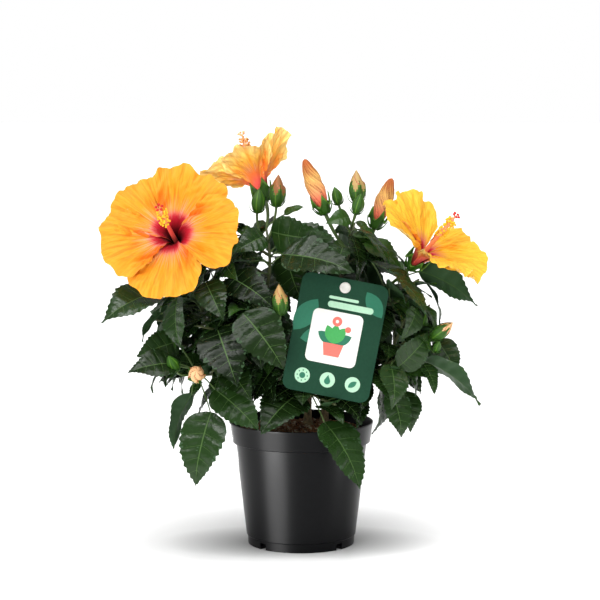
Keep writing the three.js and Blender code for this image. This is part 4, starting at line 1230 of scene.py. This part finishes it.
def small_bud(heap, bud, look):
    """A bud in its calyx, with its petal tips showing unless it is closed, and bracts at its foot."""
    _, foot, tip = bud
    foot, tip = vec(foot), vec(tip)
    length = np.linalg.norm(tip - foot)
    radius = {"closed": 0.27, "peach": 0.33}.get(look, 0.24) * length
    turn = turned_to(tip - foot)
    open_share = {"closed": 1.6, "peach": 0.5, "tipped": 0.92}.get(look, 0.62)
    sides, rows = 30, 16
    points, kinds = [], []
    for i in range(rows + 1):
        s = i / rows
        swell = np.interp(s, (0, 0.06, 0.2, 0.38, 0.58, 0.75, 0.9, 1), (0.25, 0.5, 0.84, 1, 0.94, 0.66, 0.32, 0.02))
        for j in range(sides):
            angle = 2 * math.pi * j / sides
            lobe = open_share * (0.6 + 0.5 * (1 - abs(math.sin(2.5 * angle))))
            covered = s <= lobe
            rib = 0.16 * abs(math.cos(2.5 * angle)) ** 3 if covered else -0.12 + 0.10 * ((5 * angle / 6.28 + 2 * s) % 1)
            r = radius * swell * (0.98 + rib)
            points.append((r * math.cos(angle), r * math.sin(angle), length * s))
            if i < rows:
                edge = abs(s - lobe) < 0.04 or abs(math.sin(2.5 * angle)) > 0.97
                furl = (5 * angle / 6.28 + 2 * s) % 1 > 0.8
                kinds.append((1 if edge else 0) if covered else (2 if furl else BUD_LOOKS[look]))
    heap.add(foot + np.array(points) @ turn.T, grid_faces(rows, sides, closed=True), kinds)
    for n in range(7):
        angle = 2 * math.pi * n / 7 + length
        aside = vec((math.cos(angle), math.sin(angle), 0))
        up = vec((0, 0, 1))
        reach = 0.32 * length
        curve = Bend(aside * 0.5, aside * (radius + 1.2) + up * 0.1 * reach, aside * (radius + 1.4) + up * reach)
        points, faces = tube(curve, lambda t: 0.65 - 0.5 * t, 5, 5)
        heap.add(foot + np.asarray(points) @ turn.T, faces, 0)


# The buds in the order of the shoots: how each looks, and how far it stands before its leaf
LOOKS_IN_TURN = (
    ("closed", 15), ("peach", 0), ("brown", 0), ("closed", 0), ("straw", 0), ("straw", 0),
    ("closed", 0), ("closed", 0), ("tipped", 0), ("closed", 0), ("closed", 0),
)


def make_flowers(wood):
    cups = Heap()
    lines = {shoot["name"]: shoot_line(shoot) for shoot in SHOOTS}
    for i, bloom in enumerate(BLOOMS):
        heap = Heap()
        for k in range(PETALS):
            petal(heap, bloom, k, i + 1)
        name = bloom["name"]
        heap.make(name + "_petals", [PETAL_FACES[name], PETAL_BACK], "petal", [name])
        heap = Heap()
        column(heap, bloom, i + 1)
        foot_colour = COLUMN if name == "bloom_left" else COLUMN_PALE
        pale = name == "bloom_top"
        pads = STIGMA_PALE if pale else STIGMA
        grains = ANTHER_PALE if pale else ANTHER
        threads = COLUMN_TOP if pale else FILAMENT
        heap.make(name + "_column", [foot_colour, COLUMN_TOP, threads, grains, pads], "petal", [name])
        calyx(cups, bloom, 10.4)
        add_stalk(wood, lines[bloom["shoot"]].point(1.0), bloom)
    furl = tall_bud_material()
    for i, bud in enumerate(TALL_BUDS):
        heap = Heap()
        points, faces, places = furled(bud["length"], 8.2, i + 1)
        heap.add(vec(bud["base"]) + points @ turned_to(bud["axis"]).T, faces, 0, places)
        heap.make(bud["name"] + "_petals", [furl], "bud", [bud["name"]])
        calyx(cups, bud, 9.2)
        add_stalk(wood, lines["middle"].point(bud["at"]), bud)
    looks = iter(LOOKS_IN_TURN)
    for shoot in SHOOTS:
        for place, foot, tip in shoot.get("buds", []):
            look, forward = next(looks)
            bud = (place, vec(foot) - vec((0, forward, 0)), vec(tip) - vec((0, forward, 0)))
            small_bud(cups, bud, look)
            axis = unit(vec(bud[2]) - vec(bud[1]))
            stalk = stalk_line(lines[shoot["name"]].point(bud[0]), vec(bud[1]) + axis, axis)
            wood.add(*tube(stalk, taper(STALK_RADIUS * 0.8, STALK_RADIUS), 7, 10), 1)
    cups.make("calyces_and_buds", [*CALYX, *BUD_TIPS], "leaf", MASS_NODES)


def add_stalk(wood, start, flower):
    axis = unit(vec(flower["axis"]))
    foot = vec(flower["base"]) - axis * 3
    radius = taper(STALK_RADIUS, STALK_RADIUS * 1.5)
    wood.add(*tube(stalk_line(start, foot, axis), radius, 8, 14), 1)


# Pot and potting mix

def pot_profile():
    """Radius and height down the outside, across the floor and up the inside, with rounded edges."""
    band = POT_HEIGHT - RIM_BAND
    lip = RIM_RADIUS
    return [
        (0.5, 0), (FOOT_RADIUS - 0.5, 0), (FOOT_RADIUS - 0.1, 0.15), (FOOT_RADIUS, 0.6), (FOOT_RADIUS + 0.35, FOOT_BAND - 0.5),
        (FOOT_RADIUS + 0.45, FOOT_BAND - 0.1), (FOOT_RADIUS + 0.9, FOOT_BAND + 0.2), (BODY_FOOT_RADIUS, FOOT_BAND + 0.6),
        (BODY_TOP_RADIUS, band - 1), (BODY_TOP_RADIUS + 0.4, band - 0.6), (lip - RIM_TAPER - 0.6, band - 0.2),
        (lip - RIM_TAPER - 0.1, band), (lip - RIM_TAPER + 0.05, band + 0.5), (lip - 0.25, POT_HEIGHT - 1.6),
        (lip, POT_HEIGHT - 0.9), (lip - 0.05, POT_HEIGHT - 0.3), (lip - 0.4, POT_HEIGHT), (lip - POT_WALL + 0.3, POT_HEIGHT),
        (lip - POT_WALL, POT_HEIGHT - 0.4), (lip - RIM_TAPER - POT_WALL, band + 1.4), (BODY_TOP_RADIUS - POT_WALL, band - 1),
        (FOOT_RADIUS - POT_WALL, POT_FLOOR), (0.5, POT_FLOOR),
    ]


def make_pot():
    heap = Heap()
    points, faces = lathe(pot_profile(), 160)
    last = len(pot_profile()) - 1
    faces += [list(range(160))[::-1], [last * 160 + j for j in range(160)]]
    heap.add(points, faces)
    pot = heap.make("pot_shell", [POT], "pot", ["pot"])
    cutter_mesh = bpy.data.meshes.new("slots")
    corners, sides = [], []
    for k in range(DRAIN_SLOTS):
        turn = math.radians((k + 0.5) * 360 / DRAIN_SLOTS)
        ahead = vec((math.cos(turn), math.sin(turn), 0))
        aside = vec((-math.sin(turn), math.cos(turn), 0))
        start = len(corners)
        for d in (-7, 7):
            for a in (-DRAIN_SLOT_WIDTH / 2, DRAIN_SLOT_WIDTH / 2):
                for h in (-DRAIN_SLOT_HEIGHT, DRAIN_SLOT_HEIGHT):
                    corners.append((ahead * (FOOT_RADIUS + d) + aside * a + vec((0, 0, h))) * MM)
        box = [(0, 1, 3, 2), (4, 6, 7, 5), (0, 4, 5, 1), (2, 3, 7, 6), (0, 2, 6, 4), (1, 5, 7, 3)]
        sides += [[start + i for i in face] for face in box]
    cutter_mesh.from_pydata([tuple(c) for c in corners], [], sides)
    cutter = bpy.data.objects.new("slots", cutter_mesh)
    bpy.context.collection.objects.link(cutter)
    cut = pot.modifiers.new("slots", "BOOLEAN")
    cut.operation = "DIFFERENCE"
    cut.object = cutter
    cut.solver = "EXACT"
    bpy.context.view_layer.objects.active = pot
    bpy.ops.object.modifier_apply(modifier=cut.name)
    bpy.data.objects.remove(cutter)
    pot.data.polygons.foreach_set("use_smooth", [True] * len(pot.data.polygons))
    pot.data.set_sharp_from_angle(angle=math.radians(32))
    return pot


def mix_height(x, y):
    r = math.hypot(x, y)
    top = POT_HEIGHT - MIX_EDGE_BELOW_RIM
    mound = np.interp(r, (0, 35, BODY_TOP_RADIUS), (MIX_MOUND, MIX_MOUND / 2, 0))
    return top + mound + 1.1 * noise.noise((x * 0.09, y * 0.09, 3)) + 0.6 * noise.noise((x * 0.4, y * 0.4, 7))


def make_mix():
    heap = Heap()
    edge = BODY_TOP_RADIUS - POT_WALL - 0.6
    rings, sides = 60, 150
    points = []
    for i in range(rings + 1):
        r = edge * (0.01 + 0.99 * i / rings)
        for j in range(sides):
            angle = 2 * math.pi * j / sides
            x, y = r * math.cos(angle), r * math.sin(angle)
            points.append((x, y, mix_height(x, y) - 0.4))
    for j in range(sides):
        x, y, _ = points[rings * sides + j]
        points.append((x * 0.98, y * 0.98, POT_HEIGHT - 26))
    heap.add(points, grid_faces(rings + 1, sides, closed=True))
    heap.make("mix_surface", [MIX], "mix", ["potting_mix"])
    crumbs = Heap()
    grain = [(1, 0, 0), (-0.9, 0.2, 0), (0.1, 0.8, 0.1), (0, -0.85, 0), (0.1, 0, 0.75), (0, 0.1, -0.7)]
    sides_of = [(0, 2, 4), (2, 1, 4), (1, 3, 4), (3, 0, 4), (2, 0, 5), (1, 2, 5), (3, 1, 5), (0, 3, 5)]
    for n in range(5200):
        r = (edge - 1.5) * math.sqrt(chance(n, 1, 21))
        angle = 2 * math.pi * chance(n, 2, 22)
        x, y = r * math.cos(angle), r * math.sin(angle)
        size = 0.5 + 1.5 * chance(n, 3, 23) ** 3
        spin = turned_to((chance(n, 4) - 0.5, chance(n, 5) - 0.5, chance(n, 6) - 0.3))
        shape = np.array(grain) * vec((1 + 0.8 * chance(n, 7), 1, 0.7 + 0.4 * chance(n, 8))) * size
        kind = min(3, int(4.2 * chance(n, 9) ** 1.6))
        crumbs.add(shape @ spin.T + vec((x, y, mix_height(x, y) + 0.2 * size)), sides_of, kind)
    for n in range(260):
        r = (edge - 8) * math.sqrt(chance(n, 11))
        angle = 2 * math.pi * chance(n, 12)
        start = vec((r * math.cos(angle), r * math.sin(angle), 0))
        start[2] = mix_height(start[0], start[1]) + 0.5
        way = 2 * math.pi * chance(n, 13)
        end = start + vec((math.cos(way), math.sin(way), 0)) * (4 + 6 * chance(n, 14))
        end[2] = mix_height(end[0], end[1]) + 0.7
        bend = (start + end) / 2 + vec((0, 0, 1 + 2.5 * chance(n, 15)))
        crumbs.add(*tube(Bend(start, bend, end), taper(0.22, 0.12), 4, 5), 2 if n % 3 else 0)
    crumbs.make("mix_crumbs", CRUMBS, "mix", flat=True)


# Care card and pin

def card_frame():
    """The matrix of the card's own axes: across it, up it and out of its face."""
    lean, roll = math.radians(90 - CARD_LEAN), math.radians(-CARD_ROLL)
    tilt = np.array([[1, 0, 0], [0, math.cos(lean), -math.sin(lean)], [0, math.sin(lean), math.cos(lean)]])
    spin = np.array([[math.cos(roll), -math.sin(roll), 0], [math.sin(roll), math.cos(roll), 0], [0, 0, 1]])
    return tilt @ spin


def on_card(points):
    return vec(CARD_HOLE_AT) + np.asarray(points, float) @ card_frame().T


def rounded(cx, cy, width, height, corner, steps=8):
    """The outline of a box with round corners, anticlockwise."""
    points = []
    for sx, sy, first in ((1, 1, 0), (-1, 1, 90), (-1, -1, 180), (1, -1, 270)):
        for i in range(steps + 1):
            angle = math.radians(first + 90 * i / steps)
            points.append((
                cx + sx * (width / 2 - corner) + corner * math.cos(angle),
                cy + sy * (height / 2 - corner) + corner * math.sin(angle),
            ))
    return points


def disc(cx, cy, r, steps=32):
    return [(cx + r * math.cos(2 * math.pi * i / steps), cy + r * math.sin(2 * math.pi * i / steps)) for i in range(steps)]


def leaf_shape(cx, cy, length, turn, width=0.26):
    """A simple pointed leaf outline that starts at a place."""
    points = []
    for side in (1, -1):
        for i in range(9):
            t = i / 8 if side > 0 else 1 - i / 8
            points.append((length * t, side * width * length * math.sin(math.pi * t) ** 0.8))
    c, s = math.cos(math.radians(turn)), math.sin(math.radians(turn))
    return [(cx + x * c - y * s, cy + x * s + y * c) for x, y in points[::-1]]


def drop_shape(cx, cy, r):
    points = [(cx, cy + 2.1 * r)]
    for i in range(21):
        angle = math.radians(150 + 240 * i / 20)
        points.append((cx + r * math.cos(angle), cy + r * math.sin(angle)))
    return points


def card_prints():
    """The card's design: (layer, print, outline). A pot with a sprig, and three care signs."""
    middle = CARD_HOLE_BELOW_TOP - CARD_HEIGHT / 2
    shapes = [
        (1, 4, leaf_shape(-37, -44, 34, 62)), (1, 4, leaf_shape(-30, -50, 30, 20)),
        (1, 4, leaf_shape(36, -20, 26, 130)),
        (2, 0, rounded(-1, middle - 1, 44, 46, 5)),
        (2, 1, rounded(8, -16, 40, 5.5, 2.7)), (2, 1, rounded(1, -10, 26, 2.6, 1.3)),
    ]
    fan = enumerate((30, 150, 62, 118, 90))
    shapes += [(3 + n, 3 if n > 1 else 4, leaf_shape(-1, middle - 6, 17, angle)) for n, angle in fan]
    shapes += [
        (8, 2, disc(-1, middle + 13.5, 4.2)), (8, 2, disc(9.5, middle + 8, 2.6)),
        (8, 2, [(-10, middle - 6), (-7.6, middle - 17), (5.6, middle - 17), (8, middle - 6)]),
        (9, 0, disc(-1, middle + 13.5, 1.4)),
    ]
    foot = CARD_HOLE_BELOW_TOP - CARD_HEIGHT + 14
    shapes += [(2, 1, disc(x, foot, 6.6)) for x in (-22, 0, 22)]
    shapes += [
        (3, 4, disc(-22, foot, 2.6)),
        (3, 4, drop_shape(0, foot - 1.2, 2.7)),
        (3, 4, leaf_shape(18.5, foot - 3, 9, 42)),
    ]
    for n in range(8):
        angle = math.radians(45 * n)
        x, y = -22 + 4.4 * math.cos(angle), foot + 4.4 * math.sin(angle)
        shapes.append((3, 4, disc(x, y, 0.6, 10)))
    return shapes


def make_card():
    heap = Heap()
    middle = CARD_HOLE_BELOW_TOP - CARD_HEIGHT / 2
    steps = 9
    half = CARD_THICKNESS / 2
    outline = rounded(0, middle, CARD_WIDTH, CARD_HEIGHT, CARD_CORNER, steps)
    count = len(outline)
    hole = []
    for x, y in outline:
        angle = math.atan2(y, x)
        hole.append((CARD_HOLE_RADIUS * math.cos(angle), CARD_HOLE_RADIUS * math.sin(angle)))
    inset = rounded(0, middle, CARD_WIDTH - 0.4, CARD_HEIGHT - 0.4, CARD_CORNER - 0.2, steps)
    loops = [
        [(*p, half) for p in hole], [(*p, half) for p in inset], [(*p, half - 0.2) for p in outline],
        [(*p, 0.2 - half) for p in outline], [(*p, -half) for p in inset], [(*p, -half) for p in hole],
        [(*p, half) for p in hole],
    ]
    points = [p for loop in loops for p in loop]
    heap.add(on_card(points), grid_faces(len(loops) - 1, count, closed=True, flip=True))
    for layer, kind, outline in card_prints():
        flat = [(x, y, half + 0.02 * layer) for x, y in outline]
        heap.add(on_card(flat), [list(range(len(flat)))], 1 + kind)
    heap.make("care_card_printed", [CARD, *PRINTS], "card", ["care_card"], flat=True)


def make_pin():
    heap = Heap()
    bough = bough_line(SHOOTS[6])
    hold = BOUGH_FOOT_RADIUS + 0.7
    way, centre = bough.way(PIN_ALONG_BOUGH), bough.point(PIN_ALONG_BOUGH)
    front = vec(CARD_HOLE_AT) + card_frame()[:, 2] * (CARD_THICKNESS / 2 + GAP)
    out = unit(front - centre)
    r = PIN_HEAD_RADIUS
    profile = [(0.3, 0), (r - 0.15, 0), (r, 0.2), (r, 0.7), (r - 0.2, 1.1), (r - 0.7, 1.35), (r - 1.3, 1.4), (r - 1.8, 1.15), (0.05, 1.1)]
    points, faces = lathe(profile, 48)
    heap.add(front + points @ card_frame().T, faces)
    shank = Bend(centre + out * (hold + 0.5), (centre + front) / 2, front + out * 0.6)
    heap.add(*tube(shank, taper(PIN_SHANK_RADIUS, PIN_SHANK_RADIUS), 16, 6))
    upright = unit(out - way * out.dot(way))
    right = np.cross(upright, way)
    points = []
    steps, sides = 30, 12
    for i in range(steps + 1):
        angle = math.radians(-50 + 280 * i / steps)
        spoke = right * math.cos(angle) + upright * math.sin(angle)
        for j in range(sides):
            turn = 2 * math.pi * j / sides
            r = hold + 0.65 + 0.65 * math.cos(turn)
            points.append(centre + spoke * r + way * 1.9 * math.sin(turn))
    caps = [list(range(sides))[::-1], [steps * sides + j for j in range(sides)]]
    heap.add(points, grid_faces(steps, sides, closed=True) + caps)
    pin = heap.make("card_pin_moulded", [PIN], "pin", ["card_pin"])
    pin.data.set_sharp_from_angle(angle=math.radians(50))


# Floor, light and camera

def floor_with_painted_shadow():
    """Near white, with a painted shadow that turns it dark grey close round the pot's foot."""
    material = shader("floor", (0.97, 0.97, 0.97), 0.55)
    nodes, links, principled = parts_of(material)
    places = nodes.new("ShaderNodeTexCoord")
    nearness = nodes.new("ShaderNodeMapping")
    nearness.inputs["Scale"].default_value = (1 / 0.13, 1 / 0.07, 1)
    links.new(places.outputs["Object"], nearness.inputs["Vector"])
    # painted shadow: a spherical gradient, stretched sideways, round the pot's foot
    painted_foot_shadow = nodes.new("ShaderNodeTexGradient")
    painted_foot_shadow.gradient_type = "SPHERICAL"
    links.new(nearness.outputs["Vector"], painted_foot_shadow.inputs["Vector"])
    share = math_node(material, "MULTIPLY", painted_foot_shadow.outputs["Fac"], 1.0)
    # painted shadow: dark grey mixed into the floor's white near the pot's foot
    colour = mix_node(material, share, (0.97, 0.97, 0.97), (0.20, 0.20, 0.20))
    links.new(colour, principled.inputs["Base Color"])
    return material


def make_stage():
    mesh = bpy.data.meshes.new("floor")
    reach = 30
    mesh.from_pydata([(-reach, -reach, 0), (reach, -reach, 0), (reach, reach, 0), (-reach, reach, 0)], [], [(0, 1, 2, 3)])
    floor = bpy.data.objects.new("floor", mesh)
    bpy.context.collection.objects.link(floor)
    mesh.materials.append(floor_with_painted_shadow())
    return floor


def area_light(name, place, target, size, power, colour=(1, 1, 1)):
    light = bpy.data.lights.new(name, "AREA")
    light.shape = "RECTANGLE"
    light.size, light.size_y = size
    light.energy = power
    light.color = colour
    lamp = bpy.data.objects.new(name, light)
    lamp.location = place
    lamp.rotation_euler = (Vector(target) - Vector(place)).to_track_quat("-Z", "Y").to_euler()
    lamp.visible_diffuse = False
    lamp.visible_camera = False
    bpy.context.collection.objects.link(lamp)
    return lamp


def make_light(pot, floor):
    for name, bearing, tilt, power, softness in SUNS:
        sun = bpy.data.lights.new(name, "SUN")
        sun.energy = power
        sun.angle = math.radians(softness)
        lamp = bpy.data.objects.new(name, sun)
        lamp.rotation_euler = (math.radians(tilt), 0, math.radians(bearing))
        lamp.visible_glossy = name != "sun in front"
        bpy.context.collection.objects.link(lamp)
    pot_only, floor_only = bpy.data.collections.new("pot only"), bpy.data.collections.new("floor only")
    pot_only.objects.link(pot)
    floor_only.objects.link(floor)
    fill = bpy.data.lights.new("floor fill", "SUN")
    fill.energy = FLOOR_FILL
    fill.angle = math.radians(80)
    lamp = bpy.data.objects.new("floor fill", fill)
    bpy.context.collection.objects.link(lamp)
    lamp.light_linking.receiver_collection = floor_only
    lamp.light_linking.blocker_collection = pot_only
    for name, pieces, tilt, power in FLOWER_FILLS:
        lit = bpy.data.collections.new(name)
        for piece in bpy.data.objects:
            if piece.name.startswith(pieces):
                lit.objects.link(piece)
        fill = bpy.data.lights.new(name, "SUN")
        fill.energy = power
        fill.angle = math.radians(40)
        lamp = bpy.data.objects.new(name, fill)
        lamp.rotation_euler = (math.radians(tilt), 0, math.radians(-10))
        bpy.context.collection.objects.link(lamp)
        lamp.light_linking.receiver_collection = lit
    for name, place, size, power in OVERHEADS:
        area_light(name, place, (0, 0, 0.2), size, power)
    for name, place, size, power in STRIPS:
        lamp = area_light(name, place, (0, 0, 0.06), size, power)
        lamp.light_linking.receiver_collection = pot_only
        lamp.light_linking.blocker_collection = pot_only
    world = bpy.data.worlds.new("studio")
    bpy.context.scene.world = world
    world.use_nodes = True
    nodes, links = world.node_tree.nodes, world.node_tree.links
    backdrop = nodes["Background"]
    backdrop.inputs["Color"].default_value = (1, 1, 1, 1)
    backdrop.inputs["Strength"].default_value = 1.0
    room = nodes.new("ShaderNodeBackground")
    room.inputs["Color"].default_value = (1, 1, 1, 1)
    room.inputs["Strength"].default_value = ROOM_LIGHT
    path = nodes.new("ShaderNodeLightPath")
    mix = nodes.new("ShaderNodeMixShader")
    links.new(path.outputs["Is Camera Ray"], mix.inputs["Fac"])
    links.new(room.outputs["Background"], mix.inputs[1])
    links.new(backdrop.outputs["Background"], mix.inputs[2])
    links.new(mix.outputs["Shader"], nodes["World Output"].inputs["Surface"])
    bpy.context.scene.view_settings.view_transform = "Standard"


def make_camera():
    data = bpy.data.cameras.new("camera")
    data.lens = CAMERA_LENS
    data.sensor_width = 36
    data.clip_end = 100
    camera = bpy.data.objects.new("camera", data)
    camera.location = CAMERA_AT
    camera.rotation_euler = (math.radians(CAMERA_TILT), 0, 0)
    bpy.context.collection.objects.link(camera)
    bpy.context.scene.camera = camera


make_camera()
studio_floor = make_stage()
pot_shell = make_pot()
make_mix()
make_wood()
fine_wood = make_leaves()
make_flowers(fine_wood)
fine_wood.make("twigs_and_stalks", [TWIG, PETIOLE], "bark", MASS_NODES)
make_card()
make_pin()
make_light(pot_shell, studio_floor)
